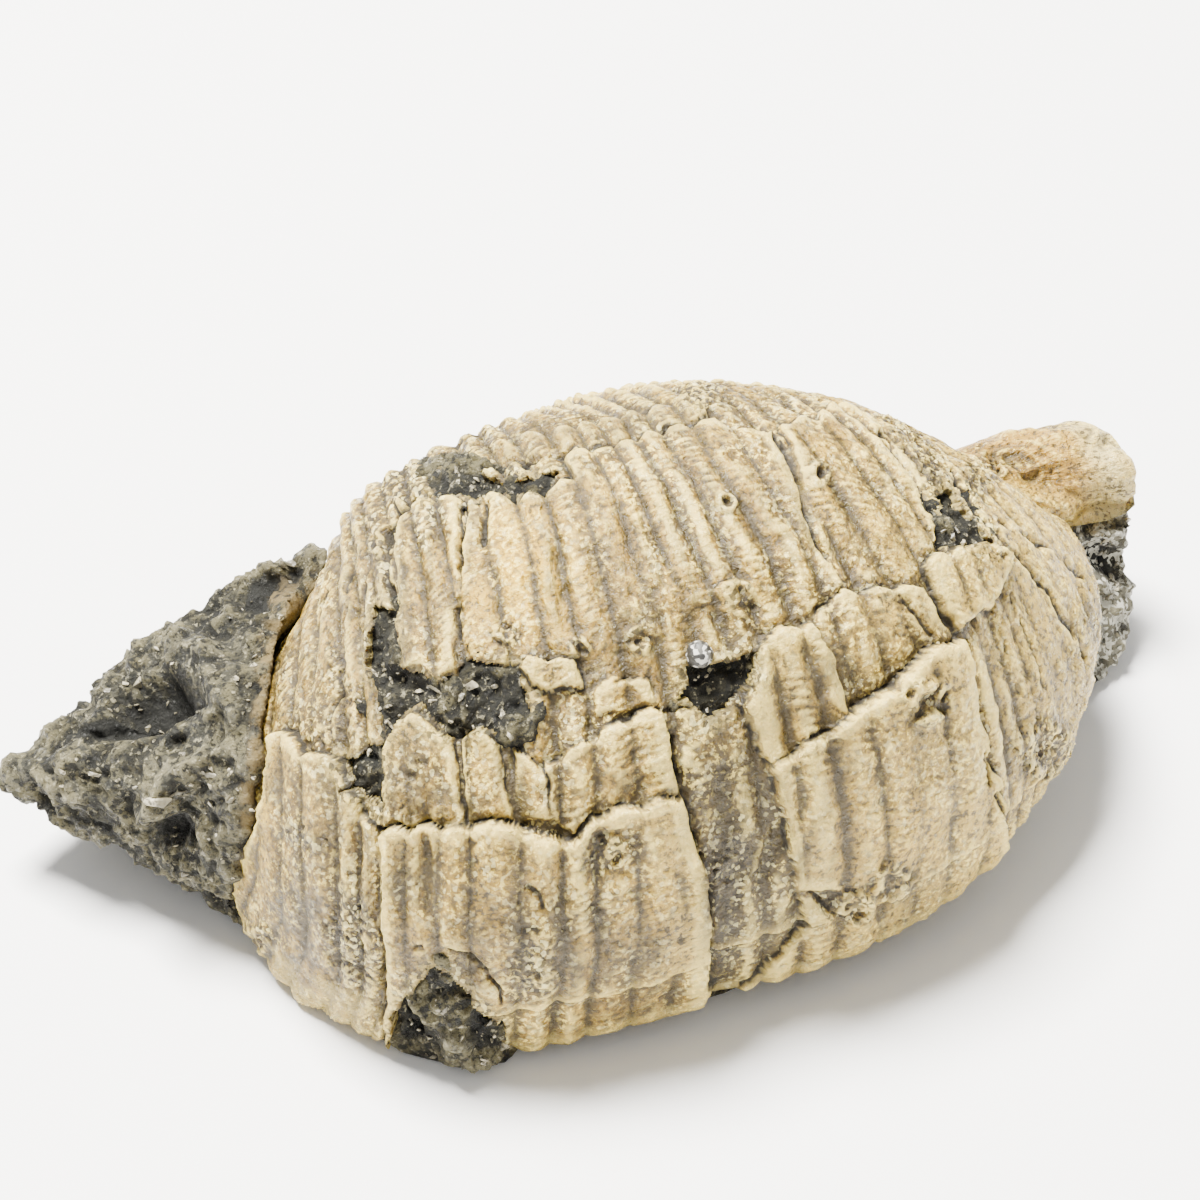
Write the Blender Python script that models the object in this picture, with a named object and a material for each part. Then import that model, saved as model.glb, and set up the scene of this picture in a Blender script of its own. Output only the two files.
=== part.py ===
"""Brachiopod fossil: the large ribbed valve of a productid, lying on its limestone matrix.

Two pieces.  "shell" is the valve, a crust about 2 mm thick, strongly arched, with ribs, broken
growth layers, cracks, holes and spine bases.  "matrix" is the limestone that fills the valve, shows
through the holes, and stands out as a wedge on the left and as lumps at the right and the front.

Lengths are in millimetres up to the point where a mesh is made.  The hinge line of the valve runs
along X, its front margin faces -Y, and the flat underside of the limestone lies on Z = 0.
"""
import bmesh
import bpy
import numpy as np
from mathutils import Matrix, Vector, noise

MM = 0.001
MERGE_DISTANCE = 1e-7    # metres; only the grid's points that meet on the hinge line
FOOTPRINT_CENTRE = (1.25, 0.42, 0.0)     # the fossil is shaped with its midline on x = 0

# The valve coils about its hinge line.  Angles are in degrees around that line: 0 points back,
# 90 up and 180 forwards.
HINGE_Y = 13.0
HINGE_Z = 13.7
BACK_ANGLE = -40
FRONT_ANGLES = {"left": [(0, 199), (0.2, 202.5), (0.3, 205), (0.4, 208), (0.5, 215), (0.6, 224),
                         (0.7, 229), (1, 230)],
                "right": [(0, 199), (0.3, 197.5), (0.6, 196), (1, 196)]}
MIDLINE_RADII = [(-60, 3.0), (-40, 3.5), (0, 6.5), (30, 9.5), (60, 14.1), (90, 19.7), (120, 25.8),
                 (150, 30.5), (180, 33), (215, 35)]
LEFT_REACHES = [(-60, 5), (-40, 6), (0, 10), (60, 15.4), (90, 20.0), (120, 24.0), (150, 27.2),
                (180, 29.4), (215, 30.6)]
RIGHT_REACHES = [(-60, 5), (-40, 6), (0, 12), (60, 20.5), (90, 26), (120, 31.5), (150, 36.5),
                 (180, 40), (215, 41.5)]
EAR_RADII = {"left": 3.0, "right": 4.9}
EAR_SWELLS = {"left": 0.0, "right": 0.22}    # share by which an ear is thicker towards its end
EAR_TIPS = {"left": 27.0, "right": 47.5}
BODY_SHARE = 0.70        # share of the width, from the midline out, that is body and not ear
EAR_TAPER = {"left": 0.5, "right": 0.42}
EAR_ROUNDING = 0.86      # share of the ear after which its end rounds off
EAR_LEAST = 0.8          # how far an ear stands out of the widest part of the body

SHELL_THICKNESS = 2.3
GAP = 0.3                # clearance between the shell and the limestone
RIB_SPACING = 2.3
RIB_DEPTH = 0.42
WRINKLE_SPACING = 3.1    # concentric wrinkles of the older, rear half
WRINKLE_DEPTH = 0.28

# Outlines of the broken layers are drawn on an upright sketch that faces the valve from its front
# left and above, x to the right and y up, and are carried back onto the valve along the lines that
# meet at the sketch's eye.
SKETCH_CENTRE = np.array([-1.5, 2.5, 23.2])
SKETCH_AZIMUTH = np.radians(-22.0)
SKETCH_ELEVATION = np.radians(41.0)
SKETCH_DISTANCE = 270.0

# Layers: (rise of the upper edge, share of the rise left at the lower edge, outline).  Each layer
# laps over the one above it, as growth layers do, so that its upper edge is a small ledge.
TOP_BAND = (0.45, 0.3, [(-7.2, 11.6), (-4.3, 11.7), (-0.7, 12.5), (2.2, 13.6), (6.2, 14.4),
                        (8.1, 13.0), (4.9, 12.5), (0.0, 10.9), (-2.4, 10.6), (-6.9, 10.1)])
DECK_LEFT = (0.45, 0.6, [(-14.4, 6.9), (-12.3, 7.4), (-9.9, 7.0), (-10.1, 2.9), (-10.4, -4.9),
                         (-11.6, -5.8), (-14.5, -4.7), (-14.8, 0.0), (-14.5, 4.3)])
DECK_MIDDLE = (0.55, 0.15, [(-9.7, 7.0), (-6.4, 7.3), (-4.0, 7.5), (-2.0, 8.8), (-2.4, 10.4),
                            (2.7, 11.8), (8.1, 13.0), (10.1, 12.2), (12.2, 12.0), (14.1, 9.1),
                            (16.4, 2.9), (17.8, 0.9), (14.5, -1.6), (12.2, -2.3), (10.5, -1.2),
                            (7.2, -0.6), (4.3, -2.5), (0.0, -3.8), (-9.4, -4.0), (-10.2, 0.0)])
DECK_RIGHT = (0.45, 0.15, [(12.9, 12.3), (15.4, 12.8), (16.7, 13.8), (18.5, 13.8), (21.0, 11.2),
                           (23.8, 6.9), (24.6, 4.3), (22.8, 1.4), (18.1, 0.9), (16.5, 3.3),
                           (14.5, 9.1)])
PLATE_BY_HOLE = (0.75, 0.5, [(-14.5, -8.7), (-13.4, -7.9), (-12.3, -8.6), (-10.7, -10.5),
                             (-9.7, -16.4), (-15.8, -16.1), (-15.5, -10.5)])
PLATE_NARROW = (0.6, 0.5, [(-10.0, -9.4), (-8.8, -9.2), (-7.4, -10.7), (-6.4, -15.9),
                           (-9.4, -16.2)])
PLATE_SLIVER = (0.45, 0.5, [(-6.2, -10.5), (-4.0, -12.7), (-3.2, -16.1), (-5.8, -15.8)])
PLATE_ISLAND = (0.6, 0.8, [(-5.8, -4.7), (-5.1, -4.2), (-1.8, -4.3), (-1.4, -6.2), (-5.1, -6.3)])
PLATE_CENTRE = (0.7, 0.4, [(-4.0, -12.0), (-1.4, -10.4), (2.9, -8.3), (4.3, -8.1), (5.2, -10.1),
                           (5.9, -14.0), (-0.6, -15.6), (-2.0, -17.1), (-3.3, -16.1)])
PLATE_RIGHT = (0.9, 0.5, [(11.4, -3.6), (11.9, -2.8), (15.1, -1.6), (16.1, -3.6), (18.3, -8.3),
                          (16.3, -9.8), (11.9, -11.9), (10.3, -7.6), (11.4, -5.2)])
PLATE_FAR_RIGHT = (0.5, 0.1, [(15.6, -1.3), (17.4, 0.6), (22.8, 0.9), (24.3, -0.4), (25.2, -2.5),
                              (22.8, -4.2), (18.1, -8.1), (16.1, -3.6)])
PLATE_RAISED = (1.0, 0.5, [(23.2, 2.4), (23.9, 3.0), (27.2, 4.1), (29.2, 2.5), (28.3, 0.0),
                           (25.7, -2.5), (24.3, 0.2)])
WALL_LEFT = (0.8, 0.3, [(-23.3, -10.1), (-22.5, -9.4), (-21.2, -10.9), (-18.8, -11.4),
                        (-18.0, -13.4), (-17.2, -15.4), (-15.9, -16.4), (-15.4, -20.3),
                        (-15.9, -33.3), (-26.8, -30.4), (-26.1, -20.3), (-24.2, -15.2)])
WALL_MIDDLE = (1.0, 0.3, [(-15.7, -16.4), (-9.1, -16.4), (-6.2, -16.1), (-4.0, -17.0),
                          (-2.0, -17.5), (-0.6, -15.7), (2.2, -14.7), (5.9, -14.1), (8.0, -21.8),
                          (8.2, -31.9), (-5.8, -35.5), (-15.6, -34.1), (-15.1, -20.3)])
WALL_RIGHT = (1.1, 0.3, [(11.9, -11.9), (14.5, -10.5), (16.3, -9.6), (18.1, -8.2), (22.8, -4.3),
                         (25.4, -2.6), (26.7, -6.5), (29.2, -16.7), (29.1, -20.3), (21.8, -26.8),
                         (8.7, -30.4), (14.9, -23.6), (12.8, -14.5)])
LAYERS = [TOP_BAND, DECK_LEFT, DECK_MIDDLE, DECK_RIGHT, PLATE_BY_HOLE, PLATE_NARROW,
          PLATE_SLIVER, PLATE_ISLAND, PLATE_CENTRE, PLATE_RIGHT, PLATE_FAR_RIGHT, PLATE_RAISED,
          WALL_LEFT, WALL_MIDDLE, WALL_RIGHT]

# Holes through the shell, where the limestone shows: (depth of the limestone, outline).
HOLES = [
    (1.0, [(-16.5, -0.6), (-14.5, -0.4), (-14.4, -4.7), (-11.6, -5.9), (-9.4, -4.1), (-5.8, -4.9),
           (-4.9, -8.1), (-5.8, -10.3), (-8.0, -9.8), (-10.9, -10.3), (-13.4, -7.9),
           (-15.4, -10.5), (-15.7, -15.6), (-18.0, -13.8), (-18.7, -11.4), (-15.6, -10.1),
           (-17.4, -4.9)]),
    (1.4, [(6.7, -4.0), (8.7, -4.6), (11.2, -3.6), (11.6, -4.9), (9.4, -8.1), (8.0, -9.2),
           (5.8, -7.2)]),
    (0.7, [(-12.7, 9.1), (-10.5, 9.8), (-7.2, 8.7), (-2.3, 9.3), (-4.0, 7.5), (-8.7, 7.8),
           (-11.6, 7.4)]),
    (0.8, [(24.7, 7.3), (26.5, 8.1), (28.6, 6.5), (29.2, 3.6), (27.0, 3.8), (23.6, 3.0)]),
    (-0.6, [(-14.9, -29.4), (-13.4, -27.9), (-12.2, -26.2), (-10.5, -27.2), (-8.7, -29.0),
            (-7.0, -30.8), (-6.5, -33.3), (-10.9, -35.5), (-15.2, -34.1)]),
]

# Cracks and grooves: (width, depth, course).
CRACKS = [
    (0.35, 0.7, [(-9.9, 6.9), (-10.1, 2.9), (-10.4, -4.3)]),
    (0.5, 0.4, [(-8.3, 7.2), (-8.8, 2.9)]),
    (0.45, 1.0, [(5.2, -10.1), (6.1, -14.5), (6.8, -17.0), (8.0, -21.8), (8.1, -29.0)]),
    (0.45, 0.7, [(12.5, 11.7), (14.1, 9.1), (15.4, 5.1), (16.4, 2.9)]),
    (0.45, 0.8, [(18.5, 13.8), (21.0, 11.2), (23.8, 6.9), (25.0, 2.9)]),
    (0.3, 0.5, [(27.2, -10.7), (27.6, -12.7), (29.2, -16.7), (29.1, -19.6)]),
    (0.6, 0.9, [(-12.7, 7.8), (-15.6, 5.2), (-15.4, 1.4), (-14.8, -0.4)]),
    (0.4, 0.6, [(25.0, 10.1), (27.9, 5.8), (32.3, 0.9), (36.5, -6.0)]),
    (0.4, 0.5, [(29.0, 5.8), (33.7, 2.9), (37.7, -1.1)]),
]

# Spine bases: (centre, radius).
SPINE_BASES = [((-6.7, -2.4), 0.75), ((0.7, -17.9), 0.95), ((7.2, -3.8), 0.8), ((9.2, 7.0), 0.8),
               ((15.8, 8.9), 0.85), ((22.8, -7.2), 1.1), ((18.1, -21.8), 0.95)]
SPINE_RISE = 0.9

# Growth ledges and spine bases on the rear slope, by their angle about the hinge line.
REAR_LEDGES = [(8, 0.5), (34, 0.6), (57, 0.45)]
REAR_SPINES = [(-0.42, 52), (-0.12, 22), (0.16, 46), (0.38, 14), (0.55, 58), (-0.3, 4)]

# The limestone outside the valve, each block the hull of a few corners.
WEDGE = [(-45.6, 16.9, 8.2), (-38.4, 18.0, 11.6), (-33.4, 18.4, 14.6), (-27.4, 18.9, 18.7),
         (-23.0, 17.8, 21.5), (-18.4, 16.0, 23.6), (-43.0, 14.8, 6.6), (-41.0, 13.5, 5.9),
         (-37.6, 10.6, 4.6), (-33.6, 8.4, 3.0), (-29.6, 4.6, 1.4), (-27.6, 0.2, -1),
         (-22.0, -4.0, -1), (-16.0, 8.0, -1), (-16.0, 21.0, 13), (-26.0, 21.5, 12),
         (-36.0, 20.5, 8), (-41.0, 18.6, 4), (-30.0, 19.0, 1), (-16.0, 19.0, 0),
         (-24.4, 7.2, 22.9), (-25.9, 5.2, 21.8), (-27.9, 2.0, 19.6), (-28.7, 0.4, 17.9),
         (-30.0, 0.2, 14.4), (-30.7, 0.4, 10.4), (-31.0, 0.5, 7.4), (-30.9, 1.5, 3.0)]
RIGHT_LUMP = [(46.3, 8.8, 11), (46.6, 5.6, 4.5), (45.1, 3.7, 2), (41.7, 0.8, 0.6),
              (36.0, -1.0, -1), (28.0, 2.0, -1), (28.0, 18.0, -1), (40.0, 17.0, 0),
              (45.0, 14.0, 3), (46.0, 14.0, 11), (40.0, 18.0, 12), (28.0, 19.0, 12),
              (28.0, 4.0, 12)]
FRONT_LUMP = [(-20.5, -15.4, -1), (-23.5, -11.8, -1), (-20.0, -11.3, 6), (-17.7, -15.4, -1),
              (-17.7, -15.0, 1.5), (-22.5, -11.6, 3), (-12.0, -2.0, 6), (-20.0, -2.0, -1),
              (-10.0, -12.0, -1)]
BASE = [(-24, 1, -1), (-21, -8, -1), (-12, -15, -1), (0, -17, -1), (12, -16, -1), (24, -10, -1),
        (32, -2, -1), (33, 10, -1), (28, 16, -1), (10, 18, -1), (-10, 17, -1), (-18, 18, -1),
        (-21, -8, 8), (-12, -15, 6), (0, -17, 6), (12, -16, 6), (24, -10, 6), (33, 4, 9),
        (31, 18, 12), (10, 19, 12), (-16, 18, 12), (-26, 12, 9)]
ROCK_BLOCKS = [WEDGE, RIGHT_LUMP, FRONT_LUMP, BASE]
ROCK_VOXEL = 1.0

# Hollows (-) and lumps (+) of the limestone: (centre, radius, height).
ROCK_FORMS = [((-30.5, 13.0, 11.0), 3.2, -2.2), ((-28.5, 15.5, 15.5), 3.0, 1.3),
              ((-36.0, 15.0, 8.5), 2.6, -0.9), ((-31.0, 6.0, 6.0), 3.0, 1.0),
              ((-26.5, 13.0, 14.0), 2.2, 1.0), ((44.0, 5.0, 6.5), 2.4, -0.9),
              ((20.0, 20.0, 6.0), 5.0, -1.6), ((0.0, 20.0, 8.0), 6.0, 1.2),
              ((-20.0, 20.0, 5.0), 5.0, -1.4), ((38.0, 16.0, 5.0), 4.0, -1.2)]

GRID = (420, 210)        # steps across and along the valve before it is thinned out
SHELL_FACES = 4200
ROCK_FACES = 1480
CLEARANCE_VOXEL = 0.55
CLEARANCE_FACES = 2000
THINNING_ERROR = 0.25    # how far thinning out may move a surface
INNER_GRID = (110, 80)
INNER_FACES = 940
HOLLOW_DRAFT = 80.0      # depth of the point that the hollow's open side is drawn down to
FILLING_OVERRUN = 2.0    # degrees by which the hollow runs past the shell's edges


def curve_through(points, position):
    """A smooth curve through the points that never overshoots them."""
    places, values = np.array(points, float).T
    spans = np.diff(places)
    slopes = np.diff(values) / spans
    before, after = slopes[:-1], slopes[1:]
    total = np.where(before * after > 0, before + after, 1.0)
    inner = np.where(before * after > 0, 2 * before * after / total, 0.0)
    tangents = np.concatenate((slopes[:1], inner, slopes[-1:]))
    left = np.clip(np.searchsorted(places, position) - 1, 0, len(spans) - 1)
    t = np.clip((position - places[left]) / spans[left], 0, 1)
    return ((1 + 2 * t) * (1 - t) ** 2 * values[left]
            + t * (1 - t) ** 2 * spans[left] * tangents[left]
            + t * t * (3 - 2 * t) * values[left + 1]
            + t * t * (t - 1) * spans[left] * tangents[left + 1])


def ease(value, low=0.0, high=1.0):
    """0 below low, 1 above high and a smooth change between them."""
    t = np.clip((value - low) / (high - low), 0, 1)
    return t * t * (3 - 2 * t)


def cross_section(across, angle, wall=0.0):
    """Half width and radius of the valve at an angle about the hinge line.

    across runs from -1 at the left ear to 1 at the right.  wall moves the body inwards, for the
    inner face of the shell, and thins out where the valve coils tightly.
    """
    left = across < 0
    share = np.abs(across)
    sweep = np.clip(share / BODY_SHARE, 0, 1) * np.pi / 2
    low = ease(angle, 110, 190)
    squareness = np.where(left, 2.2 + 0.8 * low, 2.3)
    roundness = np.where(left, 2.2 + 1.2 * low, 1.8 + 0.2 * low)
    reach = np.where(left, curve_through(LEFT_REACHES, angle), curve_through(RIGHT_REACHES, angle))
    radius = curve_through(MIDLINE_RADII, angle)
    inset = np.minimum(wall, 0.4 * radius)
    ear = np.minimum(np.where(left, EAR_RADII["left"], EAR_RADII["right"]), 0.8 * radius)
    ear = np.maximum(ear - inset, 0.3)
    reach = reach - inset
    radius = radius - inset
    width = reach * np.sin(sweep) ** (2 / squareness)
    height = ear + (radius - ear) * np.cos(sweep) ** (2 / roundness)
    outer = np.clip((share - BODY_SHARE) / (1 - BODY_SHARE), 0, 1)
    tip = np.maximum(np.where(left, EAR_TIPS["left"], EAR_TIPS["right"]), reach + EAR_LEAST)
    swell = np.where(left, EAR_SWELLS["left"], EAR_SWELLS["right"]) * ease(outer)
    taper = np.where(left, EAR_TAPER["left"], EAR_TAPER["right"])
    rounding = np.sqrt(1 - np.clip((outer - EAR_ROUNDING) / (1 - EAR_ROUNDING), 0, 1) ** 2)
    return width + outer * (tip - reach), height * (1 + swell - taper * outer ** 3) * rounding


def front_angle(across):
    """Angle of the front margin about the hinge line."""
    return np.where(across < 0, curve_through(FRONT_ANGLES["left"], np.abs(across)),
                    curve_through(FRONT_ANGLES["right"], np.abs(across)))


def valve_points(across, along, wall=0.0, overrun=0.0):
    """Points of the valve; along runs from 0 at the back edge to 1 at the front margin."""
    first = BACK_ANGLE - overrun
    angle = first + (front_angle(across) + overrun - first) * along
    width, radius = cross_section(across, angle, wall)
    turn = np.radians(angle)
    return np.stack((np.sign(across) * width,
                     HINGE_Y + radius * np.cos(turn),
                     HINGE_Z + radius * np.sin(turn)), -1), angle


def outward_normals(across, along, **inset):
    """Unit normals of the smooth valve, from small steps along its surface."""
    step = 0.004
    right = valve_points(np.minimum(across + step, 1), along, **inset)[0]
    left = valve_points(np.maximum(across - step, -1), along, **inset)[0]
    front = valve_points(across, np.minimum(along + step, 1), **inset)[0]
    back = valve_points(across, np.maximum(along - step, 0), **inset)[0]
    normals = np.cross(front - back, right - left)
    return normals / np.maximum(np.linalg.norm(normals, axis=1, keepdims=True), 1e-9)


def sketch_axes():
    """The sketch's right, up and towards-the-eye directions."""
    side, rise = SKETCH_AZIMUTH, SKETCH_ELEVATION
    right = np.array([np.cos(side), np.sin(side), 0.0])
    towards = np.array([np.sin(side) * np.cos(rise), -np.cos(side) * np.cos(rise), np.sin(rise)])
    return right, np.cross(towards, right), towards


def on_sketch(points, normals):
    """Sketch places of points, and how fully each of them faces the sketch's eye."""
    right, up, towards = sketch_axes()
    offset = points - SKETCH_CENTRE
    scale = SKETCH_DISTANCE / (SKETCH_DISTANCE - offset @ towards)
    to_eye = towards * SKETCH_DISTANCE - offset
    to_eye /= np.linalg.norm(to_eye, axis=1, keepdims=True)
    facing = ease(np.sum(normals * to_eye, axis=1), 0.02, 0.14)
    return offset @ right * scale, offset @ up * scale, facing


def distance_inside(x, y, outline):
    """Distance from an outline's edge, positive inside it."""
    nearest = np.full(x.shape, 1e6)
    inside = np.zeros(x.shape, bool)
    for (ax, ay), (bx, by) in zip(outline, outline[1:] + outline[:1]):
        nearest = np.minimum(nearest, distance_to_run(x, y, ax, ay, bx, by))
        crosses = (ay > y) != (by > y)
        if ay != by:
            inside ^= crosses & (x < (bx - ax) * (y - ay) / (by - ay) + ax)
    return np.where(inside, nearest, -nearest)


def distance_to_run(x, y, ax, ay, bx, by):
    """Distance from one straight run of a line."""
    run_x, run_y = bx - ax, by - ay
    t = np.clip(((x - ax) * run_x + (y - ay) * run_y) / (run_x ** 2 + run_y ** 2), 0, 1)
    return np.hypot(x - ax - t * run_x, y - ay - t * run_y)


def layer_heights(x, y):
    """Height of the lapping layers above the smooth valve."""
    height = np.zeros(x.shape)
    for rise, left_over, outline in LAYERS:
        top = max(place[1] for place in outline)
        drop = top - min(place[1] for place in outline)
        fade = 1 - (1 - left_over) * np.clip((top - y) / drop, 0, 1)
        inside = ease(distance_inside(x, y, outline), -0.15, 0.2)
        height = np.maximum(height, rise * fade * inside)
    return height


def crack_depths(x, y):
    """Depth of the cracks and grooves below the surface."""
    depth = np.zeros(x.shape)
    for width, deepest, course in CRACKS:
        nearest = np.full(x.shape, 1e6)
        for (ax, ay), (bx, by) in zip(course, course[1:]):
            nearest = np.minimum(nearest, distance_to_run(x, y, ax, ay, bx, by))
        depth = np.maximum(depth, deepest * (1 - ease(nearest, 0.0, width)))
    return depth


def rib_position(across):
    """Number of ribs between the midline and a place across the valve."""
    samples = np.linspace(-1, 1, 801)
    width, radius = cross_section(samples, np.full(samples.shape, 125.0))
    step_x = np.diff(np.sign(samples) * width)
    lengths = np.concatenate(([0.0], np.cumsum(np.hypot(step_x, np.diff(radius)))))
    lengths -= np.interp(0.0, samples, lengths)
    return np.interp(across, samples, lengths) / RIB_SPACING


def ornament(across, angle, points, normals):
    """Height of the ribs, wrinkles, layers, cracks and spine bases above the smooth valve."""
    x, y, facing = on_sketch(points, normals)
    body = 1 - ease(np.abs(across), 0.70, 0.80)
    grown = ease(angle, -35, 20)
    ribs = np.abs(np.sin(np.pi * rib_position(across))) ** 0.7 - 1
    rear = 1 - ease(angle, 70, 105)
    radius = cross_section(across, angle)[1]
    wrinkles = np.sin(2 * np.pi * np.radians(angle) * radius / WRINKLE_SPACING) - 1
    height = body * grown * (RIB_DEPTH * ribs + 0.5 * WRINKLE_DEPTH * rear * wrinkles)
    for ledge_angle, rise in REAR_LEDGES:
        line = ledge_angle + 4 * np.sin(5 * across + ledge_angle) + 1.5 * np.sin(17 * across)
        past = np.radians(angle - line) * radius
        height += body * rear * rise * ease(past, -0.2, 0.2) * np.exp(-np.maximum(past, 0) / 3)
    for place, spine_angle in REAR_SPINES:
        width, reach = cross_section(np.array([place]), np.array([float(spine_angle)]))
        turn = np.radians(spine_angle)
        centre = np.array([np.sign(place) * width[0],
                           HINGE_Y + reach[0] * np.cos(turn),
                           HINGE_Z + reach[0] * np.sin(turn)])
        away = np.linalg.norm(points - centre, axis=1)
        height += SPINE_RISE * (1 - ease(away, 0.3, 1.3))
    height += facing * (layer_heights(x, y) - crack_depths(x, y))
    for (spine_x, spine_y), size in SPINE_BASES:
        away = np.hypot(x - spine_x, y - spine_y) / size
        height += facing * SPINE_RISE * (1 - ease(away, 0.4, 1.3))
    return height


def hole_depths(points, normals, spread):
    """Mask of the holes, grown by spread, and the depth of the limestone in them."""
    x, y, facing = on_sketch(points, normals)
    mask = np.zeros(x.shape)
    depth = np.zeros(x.shape)
    for rock_depth, outline in HOLES:
        inside = facing * ease(distance_inside(x, y, outline), -0.8 - spread, 0.4 - spread)
        mask = np.maximum(mask, inside)
        depth = np.where(inside > 0, rock_depth, depth)
    return mask, depth


def capped_grid(name, steps):
    """A grid over the square -1..1 whose rim is drawn in to one point, as an object.

    Returns the object, the square's x and y of its vertices, and the index of the closing point.
    """
    marker = Vector((0.0, 0.0, -9.0))
    mesh = bpy.data.meshes.new(name)
    bm = bmesh.new()
    bmesh.ops.create_grid(bm, x_segments=steps[0], y_segments=steps[1], size=1.0)
    rim = [edge for edge in bm.edges if edge.is_boundary]
    drawn = bmesh.ops.extrude_edge_only(bm, edges=rim)["geom"]
    inner = [part for part in drawn if isinstance(part, bmesh.types.BMVert)]
    bmesh.ops.pointmerge(bm, verts=inner, merge_co=marker)
    bmesh.ops.triangulate(bm, faces=bm.faces)
    bm.to_mesh(mesh)
    bm.free()
    square = read_points(mesh)
    closing = int(np.argmin(square[:, 2]))
    thing = bpy.data.objects.new(name, mesh)
    bpy.context.scene.collection.objects.link(thing)
    return thing, square[:, 0], square[:, 1], closing


def read_points(mesh):
    """The mesh's vertices as an array."""
    flat = np.empty(len(mesh.vertices) * 3, np.float64)
    mesh.vertices.foreach_get("co", flat)
    return flat.reshape(-1, 3)


def write_points(mesh, points, scale=MM):
    """Moves the mesh's vertices, from millimetres to metres, and turns its faces outwards."""
    mesh.vertices.foreach_set("co", (points * scale).ravel())
    bm = bmesh.new()
    bm.from_mesh(mesh)
    bmesh.ops.remove_doubles(bm, verts=bm.verts, dist=MERGE_DISTANCE)
    bmesh.ops.recalc_face_normals(bm, faces=bm.faces)
    bm.to_mesh(mesh)
    bm.free()
    mesh.update()


def settle(thing):
    """Makes an object's modifiers part of its mesh."""
    bpy.context.view_layer.update()
    shaped = thing.evaluated_get(bpy.context.evaluated_depsgraph_get())
    mesh = bpy.data.meshes.new_from_object(shaped)
    thing.modifiers.clear()
    thing.data = mesh
    return thing


def thin_out(thing, faces):
    """Collapses the mesh to about this many triangles, keeping its ledges and ridges."""
    modifier = thing.modifiers.new("Thin out", "DECIMATE")
    triangles = sum(len(face.vertices) - 2 for face in thing.data.polygons)
    modifier.ratio = min(1.0, faces / triangles)
    modifier.use_collapse_triangulate = True
    return settle(thing)


def combine(thing, other, operation):
    """Cuts or joins one closed mesh with another, which stays as a guide."""
    modifier = thing.modifiers.new(operation.title(), "BOOLEAN")
    modifier.operation = operation
    modifier.solver = "EXACT"
    modifier.use_self = True
    modifier.object = other
    other.hide_render = True
    other.display_type = "WIRE"
    return settle(thing)


def keep_largest(thing):
    """Removes crumbs that a cut has left beside the main body, and closes what they leave open."""
    bm = bmesh.new()
    bm.from_mesh(thing.data)
    bmesh.ops.triangulate(bm, faces=bm.faces)
    waiting = set(bm.faces)
    bodies = []
    while waiting:
        front = [waiting.pop()]
        body = set(front)
        while front:
            for edge in front.pop().edges:
                beside = waiting.intersection(edge.link_faces if edge.is_manifold else ())
                waiting -= beside
                body |= beside
                front.extend(beside)
        bodies.append(body)
    largest = max(bodies, key=len)
    bmesh.ops.delete(bm, geom=[face for face in bm.faces if face not in largest],
                     context="FACES")
    bmesh.ops.holes_fill(bm, edges=[edge for edge in bm.edges if edge.is_boundary])
    bmesh.ops.triangulate(bm, faces=bm.faces)
    bmesh.ops.recalc_face_normals(bm, faces=bm.faces)
    bm.to_mesh(thing.data)
    bm.free()
    return thing


def make_valve(name):
    """The valve as a full form, closed underneath."""
    thing, x, y, closing = capped_grid(name, GRID)
    across, along = x, (1 - y) / 2
    points, angle = valve_points(across, along)
    normals = outward_normals(across, along)
    points += normals * ornament(across, angle, points, normals)[:, None]
    points[closing] = (0.0, HINGE_Y - 2, 8.5)
    write_points(thing.data, points)
    return thin_out(thing, SHELL_FACES)


def make_filling(name, lift_in_holes=None):
    """The hollow of the shell as a form, raised where the shell has holes.

    It rises out of the shell by lift_in_holes there, or only up to the limestone that shows in
    the hole if that isn't given.
    """
    thing, x, y, closing = capped_grid(name, INNER_GRID)
    across, along = x * BODY_SHARE, (1 - y) / 2
    inset = {"wall": SHELL_THICKNESS, "overrun": FILLING_OVERRUN}
    points = valve_points(across, along, **inset)[0]
    normals = outward_normals(across, along, **inset)
    outside = valve_points(across, along, overrun=FILLING_OVERRUN)[0]
    depth_below = np.sum((outside - points) * normals, axis=1)
    spread = 0.0 if lift_in_holes is None else GAP
    mask, rock_depth = hole_depths(outside, outward_normals(across, along), spread)
    lift = depth_below + (-rock_depth if lift_in_holes is None else lift_in_holes)
    points += normals * (mask * lift)[:, None]
    end = np.abs(x) > 1 - 1e-6
    points[end, 1:] = (HINGE_Y, HINGE_Z)
    points[closing] = (0.0, HINGE_Y - 3, -HOLLOW_DRAFT)
    write_points(thing.data, points)
    return thin_out(thing, INNER_FACES)


def melt(thing, voxel):
    """Makes one clean skin over forms that overlap."""
    modifier = thing.modifiers.new("Melt", "REMESH")
    modifier.mode = "VOXEL"
    modifier.voxel_size = voxel * MM
    return settle(thing)


def stand_clear(thing, other):
    """Cuts a piece back from its neighbour.

    The first swollen copy of the neighbour has one clean skin, which loses thin edges.  The second
    keeps them, and the last, which isn't swollen, takes away what the thinning out has missed.
    """
    for melted, distance in ((True, GAP + THINNING_ERROR), (False, GAP), (False, 0.0)):
        swollen = other.copy()
        swollen.data = other.data.copy()
        bpy.context.scene.collection.objects.link(swollen)
        if melted:
            melt(swollen, CLEARANCE_VOXEL)
        if distance > 0:
            normals = np.array([vertex.normal for vertex in swollen.data.vertices])
            write_points(swollen.data, read_points(swollen.data) / MM + normals * distance)
            thin_out(swollen, CLEARANCE_FACES)
        combine(thing, swollen, "DIFFERENCE")
        bpy.data.objects.remove(swollen)


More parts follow.
